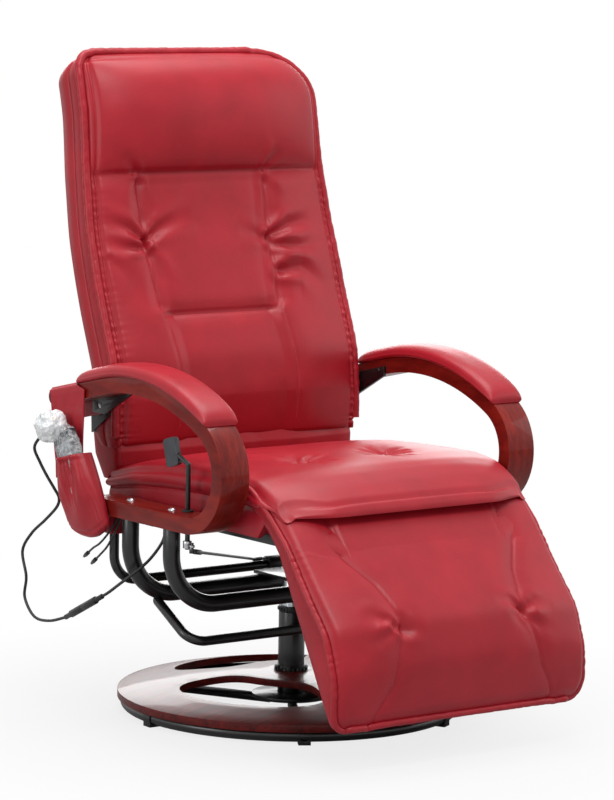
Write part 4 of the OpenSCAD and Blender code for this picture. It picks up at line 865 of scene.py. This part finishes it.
def back_edge_line(first_v, out, off):
    """front edge of the backrest from the lower left round the top to lower right"""
    top_v = 0.9 + 0.1 * np.sin(np.linspace(0, np.pi / 2, 40))
    v_up = np.concatenate([np.linspace(first_v, 0.9, 120), top_v])
    left = [back_point(back_x(-1.0, v) - out, v, off) for v in v_up]
    right = [back_point(back_x(1.0, v) + out, v, off) for v in v_up[::-1]]
    start, end = float(back_x(-1.0, 1.0)), float(back_x(1.0, 1.0))
    top = [back_point(x, 1.0, off) + (0, 0, out) for x in np.linspace(start, end, 90)]
    return np.array(left + top[1:-1] + right)


sewn_piping("back_piping", back_edge_line(0.03, 2.2, -4.0), "backrest", 7.2, 1.4, 75.0)


def rim_off(u, down, share):
    """distance of the piping in front of the footrest board, on the rounded rim"""
    return FOOT_FIRST + float(foot_relief(u, down)) - FOOT_RIM * share


RIM_X, RIM_END_X, RIM_END_DOWN, RIM_TURN = 252.0, 251.6, 34.0, 36


def foot_edge_line(out):
    """front edge of the footrest: down the left side, across and up the right"""
    straight = FOOT_L - RIM_TURN
    bottom = straight + RIM_TURN * np.sin(np.linspace(0, np.pi / 2, 26))
    downs = np.concatenate([np.linspace(RIM_END_DOWN, straight, 80), bottom])
    rows = []
    for side, order in ((-1.0, downs), (1.0, downs[::-1])):
        for down in order:
            x = side * (float(foot_half(side, down)) + out)
            rows.append(foot_point(x, down, rim_off(side, down, 0.8)))
    ends = -float(foot_half(-1.0, FOOT_L)), float(foot_half(1.0, FOOT_L))
    across = [
        foot_point(x, FOOT_L + out, rim_off(x / SEAT_HALF, FOOT_L, 0.6))
        for x in np.linspace(*ends, 80)
    ]
    return np.array(rows[: len(downs)] + across[1:-1] + rows[len(downs) :])


sewn_piping("footrest_piping", foot_edge_line(1.6), "footrest", 5.6, 1.0)
hinge_bend = (
    "chair", "footrest", tuple(column_at + (0, -0.285, 0.402)),
    tuple(column_at + (0, -0.346, 0.328)),
)
rim_y = [-334, -326, -310, -291, -276, -259, -240, -226, -205, -180, -120, 170]
rim_z = [326, 335, 351, 368, 381, 395, 409, 417, 424, 426, 424, 411]
for side, name in ((-1, "right"), (1, "left")):
    for part, body, span in (
        ("seat_piping_", "chair", np.linspace(-188, -276, 40)),
        ("hinge_piping_", hinge_bend, np.linspace(-276, -334, 40)),
    ):
        z = np.interp(span, rim_y, rim_z)
        line = np.stack([np.full_like(span, side * RIM_X), span, z], -1)
        if body == hinge_bend:
            off = rim_off(float(side), RIM_END_DOWN, 0.8)
            end = foot_point(side * RIM_END_X, RIM_END_DOWN, off)
            line = np.concatenate([line[:-9], end[None]])
        sewn_piping(part + name, line, body, 5.0, 0.9)


# ---- Leather over the two hinges: the cover runs on from the seat front over the
# footrest hinge, and from the foot of the backrest down behind the seat.
COVER_END, COVER_TANGENT = 62.0, 14.0


def hinge_cover_at(u, v, w):
    """Bezier curve in side view, from the seat front to the face of the footrest"""
    x = u * SEAT_HALF
    down = np.full_like(u, COVER_END)
    end_off = FOOT_FIRST + foot_relief(u, down) - 1.2
    slope = (foot_relief(u, down + 8) - foot_relief(u, down - 8)) / 16
    last = foot_point(x, COVER_END, end_off)
    before = foot_point(x, COVER_TANGENT, end_off - (COVER_END - COVER_TANGENT) * slope)
    one = 1 - v
    shares = one**3, 3 * one**2 * v, 3 * one * v**2, v**3
    y, z = (
        sum(share * at for share, at in zip(shares, (*start, before[..., i], last[..., i])))
        for i, start in ((1, (-258, -296)), (2, (411, 388)))
    )
    puff = 1 - np.abs(u) ** 6
    swell = 8 * puff * np.sin(np.pi * v) ** 0.8 * (1 - v) * 1.6
    inward = swell - eased((1 - np.abs(u)) * SEAT_HALF, 15) - 22 * w
    y, z = y - 0.77 * inward, z + 0.64 * inward
    return place(x + side_bow(u, w, 2.0), y, z)


closed_pad(
    "hinge_cover_leather", hinge_cover_at, spread(120, -1, 1), spread(50, 0, 1, 0.2), 7,
    hinge_bend,
)
recline_bend = (
    "chair", "backrest", tuple(column_at + (0, 0.176, 0.402)),
    tuple(column_at + (0, 0.176, 0.462)),
)
SKIRT_HALF, SKIRT_TOP, SKIRT_H = 246, 478, 94


def back_skirt_at(u, v, w):
    front = np.interp(v, [0, 0.25, 0.5, 0.75, 1], [176, 160, 152, 153, 162])
    front = front + 8 * np.abs(u) ** 4 + eased((1 - np.abs(u)) * SKIRT_HALF, 12)
    ripple = 1.2 * np.sin(u * 17 + 2 * np.sin(u * 6)) * np.sin(np.pi * v)
    rear = np.interp(v, [0, 0.6, 1], [236, 226, 200])
    y = (front - ripple) * (1 - w) + rear * w
    x = u * SKIRT_HALF + side_bow(u, w, 2.0)
    return place(x, y, SKIRT_TOP - SKIRT_H * v)


closed_pad(
    "back_skirt_leather", back_skirt_at, spread(90, -1, 1), np.linspace(0, 1, 41), 9,
    recline_bend,
)


# ---- Arm pads and clad blocks: thin foam pads in the same leather, stapled on the top
# curve of each arm, and the small leather-clad blocks that hold the thin cross tube.
PAD_FRONT, PAD_REAR, PAD_HALF, PAD_HEIGHT, ARM_HALF = -196, 176, 35, 22, 292
# the wood's front arc, its long flat arc and the straight slope behind that
NOSE_R, NOSE_Y, NOSE_Z, NOSE_END = 97, -140, 439, -186.3
ARM_R, ARM_MID_Y, ARM_MID_Z, ARM_END = 411, 10, 163.145, 100
ARM_SLOPE = math.radians(12.649)


def arm_top(y):
    """height of the top of the wood along the arm"""
    front = NOSE_Z + np.sqrt(np.maximum(NOSE_R**2 - (y - NOSE_Y) ** 2, 0))
    curve = ARM_MID_Z + np.sqrt(np.maximum(ARM_R**2 - (y - ARM_MID_Y) ** 2, 0))
    fall = ARM_R - (y - ARM_MID_Y) * math.sin(ARM_SLOPE)
    rear = ARM_MID_Z + fall / math.cos(ARM_SLOPE)
    return np.where(y < NOSE_END, front, np.where(y < ARM_END, curve, rear))


def arm_pad_at(middle):
    def at(u, v, w):
        y = PAD_FRONT + (PAD_REAR - PAD_FRONT) * v
        end = np.sqrt(sat(1 - np.abs(2 * v - 1) ** 14))
        half = PAD_HALF * (0.88 + 0.14 * end) * (1 - 0.16 * sat((v - 0.55) / 0.45) ** 2)
        shell = np.sqrt(sat(1 - u**4))
        height = PAD_HEIGHT * (0.34 + 0.66 * shell * end)
        x = middle + u * half * (1 - 0.12 * w) + side_bow(u, w, 2.6)
        return place(x, y, arm_top(y) + height * (1 - w) + 0.6 * w)

    return at


for side, name in ((1, "left"), (-1, "right")):
    closed_pad(
        "arm_pad_" + name + "_leather", arm_pad_at(side * ARM_HALF),
        spread(40, -1, 1, 0.8), spread(130, 0, 1, 0.8), 6, "chair", "arm_pad_" + name,
    )
clad_blocks = dressed("cross_blocks", red_leather, 3.0, segments=4)


# ---- Handset pouch: a flat leather panel slung over the arm, with a soft pocket sewn
# on it whose elastic mouth gathers the leather.
POUCH_X, POUCH_Y, POUCH_LOW, POUCH_W, POUCH_H, POUCH_T = -322, 142, 301.2, 118, 236, 34


def pocket_point(u, v, depth_share, inset):
    half = POUCH_W * (0.47 - 0.16 * v**2) * np.where(v < 0.05, 0.95 + v, 1.0) - inset
    y = POUCH_Y + POUCH_W * (0.32 * v - 0.17) + u * half
    rise = (1 - v) * (0.11 * sat(-u) ** 2.2 + 0.05 * sat(u) ** 3)
    z = POUCH_LOW + POUCH_H * (0.55 * v - 0.04 * u * v + rise)
    full_v = [0, 0.03, 0.1, 0.25, 0.45, 0.7, 1]
    low = np.interp(v, full_v, [0.22, 0.4, 0.52, 0.66, 0.86, 1, 1.02])
    depth = POUCH_T * (0.25 + 0.7 * (1 - u**4).clip(0) ** 0.4) * low
    gather = 3.0 * np.sin(u * 17 + 3 * np.sin(u * 5)) * sat((v - 0.3) / 0.65) ** 1.2
    from_mouth = (1 - v) * POUCH_H * 0.55
    hem = 1.6 * hump(from_mouth - 3, 2.5) - 1.4 * hump(from_mouth - 9, 2.5)
    sag = 2.6 * np.sin(u * 5 + v * 8) * np.sin(np.pi * sat(v))
    sag = sag - 1.8 * hump(np.abs(u) - 0.84, 0.035) - 1.6 * hump(v - 0.07, 0.02)
    x = POUCH_X - depth_share * (depth + (gather + hem + sag) * (1 - u**6).clip(0))
    return place(x, y, z)


grid_u, grid_v = np.meshgrid(spread(70, -1, 1, 0.5), spread(60, 0, 1, 0.3))
# both faces of the outer leather and both faces of the rear leather
pocket_sides = [
    pocket_point(grid_u, grid_v, share, inset) + np.array([shift, 0, 0])
    for share, inset, shift in ((1.0, 0, 0), (1.0, 3, 2.2), (0.0, 0, -0.2), (0.0, 3, -2.4))
]
count = grid_u.size
rows, columns = grid_u.shape
pocket_faces = []
for part in range(4):
    pocket_faces += sheet_faces(rows, columns, part * count).tolist()


def join_edges(first, second, along):
    """quads between the same edge of two equal grids"""
    points = np.arange(count).reshape(rows, columns)
    sides = {
        "left": points[:, 0], "right": points[:, -1], "low": points[0], "mouth": points[-1],
    }
    picks = sides[along].tolist()
    return [
        (first * count + a, first * count + b, second * count + b, second * count + a)
        for a, b in zip(picks, picks[1:])
    ]


# outer leather to rear leather at the sides and the bottom, and both mouths hemmed
for along in ("left", "right", "low"):
    pocket_faces += join_edges(0, 2, along) + join_edges(1, 3, along)
pocket_faces += join_edges(0, 1, "mouth") + join_edges(2, 3, "mouth")
pocket_points = np.concatenate([side.reshape(-1, 3) for side in pocket_sides])
pocket = make_piece(
    "pouch_pocket_leather", pocket_points, pocket_faces, red_leather, "chair",
    merge=0.001,
)
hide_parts("pouch_body")
# the panel lies over the arm and hangs down on both sides of it
drape_v = [0, 0.44, 0.5, 0.54, 0.74, 0.78, 0.84, 1]
drape_x = [-321.2, -321.4, -320.9, -317, -268, -263.6, -262.6, -262.4]
drape_z = [0, -12, -4, 1.2, 1.2, -4, -14, -52]
drape_front = [150, 146, 166, 178, 179, 179, 178, 172]
drape_rear = [226, 246, 250, 251, 251, 251, 249, 238]


def pouch_panel_at(u, v, w):
    front, rear = (np.interp(v, drape_v, side) for side in (drape_front, drape_rear))
    y = (front + rear) / 2 + u * (rear - front) / 2
    drop = np.interp(v, drape_v, drape_z)
    hang = sat(1 - v / 0.44)
    z = (arm_top(y) - 12) * (1 - hang) + 386 * hang + (drop + 12) * (1 - hang)
    x = np.interp(v, drape_v, drape_x)
    thick = 1.9 * (1 - w)
    x = x + np.where(v < 0.52, -thick, np.where(v > 0.76, thick, 0))
    z = z + np.where((v >= 0.5) & (v <= 0.78), thick, 0)
    wave = 1.4 * np.sin(u * 5 + v * 16) * sat(0.5 - v) * 2
    return place(x - np.abs(wave), y, z)


closed_pad(
    "pouch_panel_leather", pouch_panel_at, np.linspace(-1, 1, 31), np.linspace(0, 1, 101), 3,
    "chair", "pouch_strap",
)


# ---- Film bag: a thin polythene bag pulled over the handset, tied at its neck with a
# yellow twist tie; the spare film is puffed into a crumpled ball behind the tie.
def polythene(name, alpha, low, high):
    """Blown polythene film: clear, glossy and creased, milky where it lies in layers."""
    material, tree, shader, spot = new_finish(name, IOR=1.5, Roughness=0.16)
    veil = noise(tree, spot, 110, 3.0, Distortion=1.2)
    tone = ramp(tree, veil, low, high)
    layers = ranged(tree, veil, *alpha, 0.35, 0.65)
    creased = bump(tree, cells(tree, spot, 130), 0.8, 2.0)
    feed(tree, shader, Base_Color=tone, Alpha=layers, Normal=creased)
    return material


def crumple(points, size, depth, seed):
    """pushes points in and out by folds of a size, all directions alike"""
    random = np.random.default_rng(seed)
    total = np.zeros(len(points))
    for octave in range(3):
        for _ in range(7):
            way = random.normal(size=3)
            way /= np.linalg.norm(way)
            beat = points @ way * (2 * np.pi / size) * 1.9**octave + random.uniform(0, 6.3)
            total += (np.abs(np.sin(beat)) - 0.6) / 7 / 1.6**octave
    return total * depth


film_sleeve = polythene("polythene_film_single", (0.12, 0.5), "#DDE2E6", "#FBFCFD")
film_layers = polythene("polythene_film_layered", (0.75, 1.0), "#D5DADE", "#FDFEFE")
# middle of the handset, and its ways up, across and out of the pouch
grip = np.array([-339, 149.08, 414.524])
grip_up = np.array([-0.0698, 0.4384, 0.8988])
grip_up /= np.linalg.norm(grip_up)
grip_across = np.cross([1, 0, 0], grip_up)
grip_across /= np.linalg.norm(grip_across)
grip_out = np.cross(grip_across, grip_up)
# half width and half thickness of the bag along the handset
sleeve_s = np.array([-63, -62, -58, -40, -20, 0, 20, 40, 56, 64, 71, 77, 82, 84.4, 87])
sleeve_w = np.array([20, 25, 27, 28, 27.5, 28, 27, 27, 25, 19, 12, 7, 4.6, 4.2, 6])
sleeve_t = np.array([1.2, 5, 11, 12.5, 12, 12.5, 12, 12, 11, 9, 7.5, 5.5, 4.4, 4.2, 6])
SLEEVE_RINGS, SLEEVE_TURN, NECK_S, TIE_R = 110, 72, 84.4, 5.4
along_s = np.linspace(-63, 87, SLEEVE_RINGS)
wide_s = np.interp(along_s, sleeve_s, sleeve_w)
thick_s = np.interp(along_s, sleeve_s, sleeve_t)
turn = np.linspace(0, 2 * np.pi, SLEEVE_TURN + 1)[:-1]
ring_w = np.sign(np.cos(turn)) * np.abs(np.cos(turn)) ** 0.6
ring_t = np.sign(np.sin(turn)) * np.abs(np.sin(turn)) ** 0.6
sleeve = (
    grip
    + along_s[:, None, None] * grip_up
    + (wide_s[:, None] * ring_w)[..., None] * grip_across
    + (thick_s[:, None] * ring_t)[..., None] * grip_out
)
away = (ring_w[:, None] * grip_across + ring_t[:, None] * grip_out)[None]
slack = np.interp(along_s, [-63, -50, 40, 62, 80, 87], [0.4, 1, 1.2, 2.2, 0.5, 0.3])
push = crumple(sleeve.reshape(-1, 3), 34, 3.4, 11).reshape(sleeve.shape[:2])
sleeve = sleeve + away * (push * slack[:, None])[..., None]


def tube_faces(rings, size):
    """quads between closed rings of so many points"""
    return [
        (r * size + c, r * size + d, (r + 1) * size + d, (r + 1) * size + c)
        for r in range(rings - 1)
        for c, d in ((c, (c + 1) % size) for c in range(size))
    ]


def film_piece(name, points, faces, finish):
    piece = make_piece(name, points, faces, finish, "chair", 0.001)
    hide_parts("film_bag")


ring_faces = [*tube_faces(SLEEVE_RINGS, SLEEVE_TURN), tuple(reversed(range(SLEEVE_TURN)))]
film_piece("film_sleeve", sleeve.reshape(-1, 3), ring_faces, film_sleeve)
ball_c = np.array([-351.24, 200.6, 476.924])
ball_r, BALL_RINGS, BALL_TURN = 25.5, 70, 110
polar = np.linspace(0.02, np.pi - 0.02, BALL_RINGS)
round_turn = np.linspace(0, 2 * np.pi, BALL_TURN + 1)[:-1]
rows_of_ball = [
    np.outer(np.sin(polar), np.cos(round_turn)),
    np.outer(np.sin(polar), np.sin(round_turn)),
    np.outer(np.cos(polar), np.ones(BALL_TURN)),
]
ball = np.stack(rows_of_ball, -1).reshape(-1, 3)
swell = ball_r + 1.5 + crumple(ball * ball_r, 46, 8, 4)
ball_faces = tube_faces(BALL_RINGS, BALL_TURN)
last = len(ball) - BALL_TURN
ball_faces += [tuple(range(BALL_TURN)), tuple(range(len(ball) - 1, last - 1, -1))]
film_piece("film_ball", ball_c + ball * swell[:, None], ball_faces, film_layers)
# Paper-clad wire: a matt yellow strip twisted once round the neck.
tie_paper = grain_finish(
    "yellow_twist_tie_paper", "#D9A514", "#EFC22C", 300, (0.6, 0.75), 900, 0.2, 0.3, IOR=1.45
)
neck = grip + NECK_S * grip_up
tie_turn = np.linspace(0, 2 * np.pi * 2.2, 90)
tie_line = (
    neck
    + TIE_R * np.cos(tie_turn)[:, None] * grip_across
    + TIE_R * np.sin(tie_turn)[:, None] * grip_out
    + np.linspace(-2, 2, 90)[:, None] * grip_up
)
tie_way = grip_out * 3 + grip_across * 1.2 - grip_up * 0.3
tie_end = np.array([tie_line[-1] + tie_way * k for k in (1, 2, 3, 4)])
grown(
    "film_tie", np.concatenate([tie_line, tie_end]), piping, "chair", "film",
    radius=1.3 * MM, pucker_depth=0.2 * MM, puckers_per_metre=400.0, leather=tie_paper,
)


# ---- Handset: a two-part ABS shell with a soft keypad, standing in the pouch.
# Moulded ABS, spark-eroded texture: dark grey with a dull sheen.
handset_abs = grain_finish(
    "dark_abs_moulded", "#1E2024", "#26292E", 50, (0.35, 0.45), 1100, 0.15, 0.3, IOR=1.53
)
# Silicone keypad: pale grey, silky.
keypad_silicone = grain_finish(
    "grey_silicone_moulded", "#8E9298", "#9DA1A6", 80, (0.5, 0.6), 900, 0.1, 0.2, IOR=1.41
)
dressed("handset_shell", handset_abs, 0.8, segments=3)
dressed("handset_keypad", keypad_silicone, 0.3)


# ---- Topstitching: waxed polyester thread in the flat seams of the lumbar panel, five
# millimetres to a stitch, lying in shallow grooves.
def stitch_tree():
    """nodes that lay one stitch after another along a line"""
    lengths = {"Pitch": 0.005, "Stitch length": 0.0036, "Thread radius": 0.0004}
    tree, inlet, line = line_group("topstitch", lengths, "Thread", "Stitches")
    links = {"Curve": line, "Length": (inlet, "Pitch")}
    spots = add(tree, "GeometryNodeCurveToPoints", links=links, mode="LENGTH")
    one = add(
        tree, "GeometryNodeMeshCylinder", {"Vertices": 6, "Side Segments": 2},
        {"Radius": (inlet, "Thread radius"), "Depth": (inlet, "Stitch length")},
    )
    links = {name: (spots, name) for name in ("Points", "Rotation")}
    links["Instance"] = one, "Mesh"
    laid = add(tree, "GeometryNodeInstanceOnPoints", links=links)
    return give_mesh(tree, inlet, (laid, "Instances"), "Thread", "Stitches")


# Bonded polyester thread: a lighter red than the leather, slightly hairy, soft sheen.
thread = grain_finish(
    "red_polyester_thread", "#B8404A", "#CC5A62", 200, (0.5, 0.65), 2500, 0.2, 0.5, IOR=1.54
)
stitches = stitch_tree()
for name, seam in (("left", left_seam), ("right", right_seam)):
    v_seam = np.linspace(0.05, LUMBAR_SEAM - 0.004, 50)
    x_seam = seam(v_seam)
    u_seam = x_seam / back_half_at(v_seam)
    off_seam = back_relief(u_seam, v_seam) - back_edge_drop(u_seam, v_seam) + 0.25
    grown(
        "lumbar_stitches_" + name, back_point(x_seam, v_seam, off_seam), stitches,
        "backrest", "red_leather", pitch=5.0 * MM, stitch_length=3.6 * MM,
        thread_radius=0.4 * MM, thread=thread,
    )


# ---- Wooden arms and base plate: bent and flat beech laminations, stained mahogany and
# sprayed with several coats of clear gloss lacquer over rounded edges.
def mahogany(name, stretch, dark, light):
    """Stained beech under gloss lacquer: dark red brown, fine streaks along the grain."""
    material, tree, shader, spot = new_finish(
        name, IOR=1.52, Specular_IOR_Level=0.15, Coat_Weight=0.22, Coat_Roughness=0.06
    )
    turned = add(tree, "ShaderNodeMapping", {"Scale": stretch}, {"Vector": spot}), "Vector"
    streaks = noise(tree, turned, 260, 4.0, Roughness=0.6, Distortion=0.5)
    bands = noise(tree, turned, 45, 2.0, Distortion=1.0)
    tone = ramp(tree, maths(tree, "MULTIPLY", streaks, bands), dark, light, 0.14, 0.4)
    sheen = ranged(tree, streaks, 0.3, 0.42)
    pores = bump(tree, streaks, 0.12, 0.1)
    feed(tree, shader, Base_Color=tone, Roughness=sheen, Normal=pores)
    return material


arm_wood = mahogany("mahogany_stained_bent_laminate", (1, 0.06, 0.25), "#62100B", "#8A2016")
base_wood = mahogany("mahogany_stained_board", (0.06, 1, 1), "#420B0B", "#6E1713")
dressed("arm_left", arm_wood, 4.0, segments=5)
dressed("arm_right", arm_wood, 4.0, segments=5)
dressed("base_disc", base_wood, 2.5, segments=4)


# ---- Steel under-frame: bent round tube, flat bar and plate, welded and coated with
# black powder; the ring tube, spokes and column carry the swivel.
# Black polyester powder coat: satin, faintly uneven like orange peel.
black_powder = grain_finish(
    "black_powder_coated_steel", "#0E0E0F", "#161617", 30, (0.3, 0.4), 420, 0.12, 0.25,
    IOR=1.5, Coat_Weight=0.25, Coat_Roughness=0.15,
)
for node in (
    "ring_tube", "spokes", "hub_plate", "column", "centre_plate", "front_u_tube",
    "rear_u_tube", "lower_hoop", "cross_tube", "recline_brackets", "bracket_screws",
    "lever_rod", "release_rod", "seat_rails", "seat_brackets", "back_side_plates",
    "hinge_ears",
):
    dressed(node, black_powder, 0.4)


# ---- Bright fastenings: domed bolts, pins, screws and the two turned shafts.
# Zinc plated steel: pale blue-white metal with a soft brushed grain.
zinc = grain_finish(
    "zinc_plated_steel", "#B4B8BC", "#CDD0D3", 70, (0.22, 0.34), 1500, 0.05, 0.2, Metallic=1.0
)
for node in (
    "disc_screws", "swivel_post", "block_screws", "arm_bolts", "release_pin", "lever_crank",
    "pivot_bolts", "hinge_rod",
):
    dressed(node, zinc, 0.3)


# ---- Plastic and rubber parts: clips under the ring, collar and cap of the column, the
# latch block, bushings, spacers, the lever's paddle and its grommet.
# Moulded polypropylene: black, low sheen.
black_pp = grain_finish(
    "black_polypropylene_moulded", "#0F0F10", "#18181A", 50, (0.4, 0.52), 800, 0.15, 0.3,
    IOR=1.49,
)
for node in ("foot_clips", "column_collar", "column_cap", "latch_block"):
    dressed(node, black_pp, 0.5)
# Soft-touch grey ABS paddle, rounded by the mould.
paddle_abs = grain_finish(
    "grey_abs_moulded", "#33373C", "#3E4247", 40, (0.34, 0.44), 900, 0.12, 0.3, IOR=1.53
)
dressed("lever_paddle", paddle_abs, 1.5, segments=4)
# Natural acetal bearings: warm white, waxy.
acetal = grain_finish(
    "natural_acetal_turned", "#D5D0C2", "#E2DED2", 60, (0.35, 0.45), 900, 0.05, 0.2, IOR=1.48
)
for node in ("column_bushings", "pivot_spacers"):
    dressed(node, acetal, 0.3)
# EPDM rubber: near black, dull.
black_rubber = grain_finish(
    "black_epdm_moulded", "#0C0C0C", "#141414", 60, (0.6, 0.75), 700, 0.2, 0.3, IOR=1.52
)
for node in ("disc_spacers", "lever_grommet"):
    dressed(node, black_rubber, 0.4)


# ---- Boards inside the upholstery: poplar plywood under the seat and in the backrest,
# fibreboard in the footrest, with two pairs of flat massage motors on the back panel.
# Sanded poplar plywood: pale tan with long streaks.
plywood = mahogany("poplar_plywood_sanded", (0.08, 1, 1), "#A8845A", "#C9A878")
plywood.node_tree.nodes["Principled BSDF"].inputs["Coat Weight"].default_value = 0
dressed("seat_board", plywood, 0.5)
dressed("back_panel", plywood, 0.5)
fibreboard = grain_finish(
    "brown_fibreboard_pressed", "#4A3B30", "#5B4A3C", 300, (0.7, 0.85), 1600, 0.3, 0.5, IOR=1.5
)
dressed("footrest_board", fibreboard, 0.5)
# Painted steel motor cans: dark grey, satin.
motor_paint = grain_finish(
    "grey_painted_steel", "#3B3B3E", "#46464A", 60, (0.35, 0.45), 700, 0.1, 0.2, IOR=1.5
)
dressed("massage_motors", motor_paint, 0.5)


# ---- Studio: a pale sweep under soft boxes, white behind the chair. Straight and
# mirrored views meet a white room, while the chair is lit by a dimmer one.
floor_mesh = bpy.data.meshes.new("studio_floor")
reach = 9
floor_mesh.from_pydata(
    [(-reach, -reach, 0), (reach, -reach, 0), (reach, reach, 0), (-reach, reach, 0)], [],
    [(0, 1, 2, 3)],
)
low = float(solid_box[0][2]) - 0.0004
floor_mesh.transform(Matrix.Translation((0, 0, low)))
paper, tree, shader, spot = new_finish("white_paper_matt", Roughness=0.9, IOR=1.4)
fibres = noise(tree, spot, 400.0)
feed(tree, shader, Base_Color=ramp(tree, fibres, "#B4B4B4", "#BCBCBC"))
white = add(tree, "ShaderNodeEmission", {"Color": (1, 1, 1, 1), "Strength": 1.0})
ray = add(tree, "ShaderNodeLightPath")
away = add(tree, "ShaderNodeVectorMath", links={0: spot}, operation="LENGTH"), "Value"
far = ranged(tree, away, 0.8, 1.0, 0.3, 0.9)
seen = maths(tree, "MULTIPLY", (ray, "Is Camera Ray"), far)
mixed = add(
    tree, "ShaderNodeMixShader", {}, {0: seen, 1: (shader, "BSDF"), 2: (white, "Emission")}
)
out = next(n for n in tree.nodes if n.type == "OUTPUT_MATERIAL")
tree.links.new(mixed.outputs[0], out.inputs["Surface"])
floor_mesh.materials.append(paper)
floor = new_object("studio_floor", floor_mesh)

world = bpy.data.worlds.new("studio")
world.use_nodes = True
scene.world = world
tree = world.node_tree
tree.nodes.clear()
ray = add(tree, "ShaderNodeLightPath")
glass = maths(tree, "MAXIMUM", (ray, "Is Glossy Ray"), (ray, "Is Transmission Ray"))
bright = maths(tree, "MAXIMUM", (ray, "Is Camera Ray"), glass)
room = add(tree, "ShaderNodeBackground", {"Color": (1, 1, 1, 1), "Strength": 0.36})
card = add(tree, "ShaderNodeBackground", {"Color": (1, 1, 1, 1), "Strength": 1.0})
mixed = add(
    tree, "ShaderNodeMixShader", {},
    {0: bright, 1: (room, "Background"), 2: (card, "Background")},
)
add(tree, "ShaderNodeOutputWorld", {}, {"Surface": (mixed, "Shader")})


def soft_box(name, at, toward, width, height, power):
    lamp = bpy.data.lights.new(name, "AREA")
    lamp.shape = "RECTANGLE"
    lamp.size, lamp.size_y, lamp.energy = width, height, power
    box = new_object(name, lamp)
    box.location = Vector(at) + Vector(column_at)
    box.rotation_euler = (Vector(toward) - Vector(at)).to_track_quat("-Z", "Y").to_euler()
    box.visible_camera = False


soft_box("key_above_front", (-0.9, -1.9, 3.4), (0, -0.1, 0.5), 1.8, 1.2, 62)
soft_box("fill_right", (2.8, -1.6, 1.8), (0, 0, 0.5), 1.2, 1.8, 12)
soft_box("fill_left", (-3.2, 0.3, 1.3), (0, 0, 0.6), 1.2, 1.6, 26)
soft_box("top", (0.2, 0.3, 3.2), (0, 0, 0.4), 2.2, 1.4, 62)
soft_box("back_sheen", (2.3, 3.2, 1.5), (0, 0, 0.45), 3.0, 1.3, 55)
scene.view_settings.view_transform = "Standard"
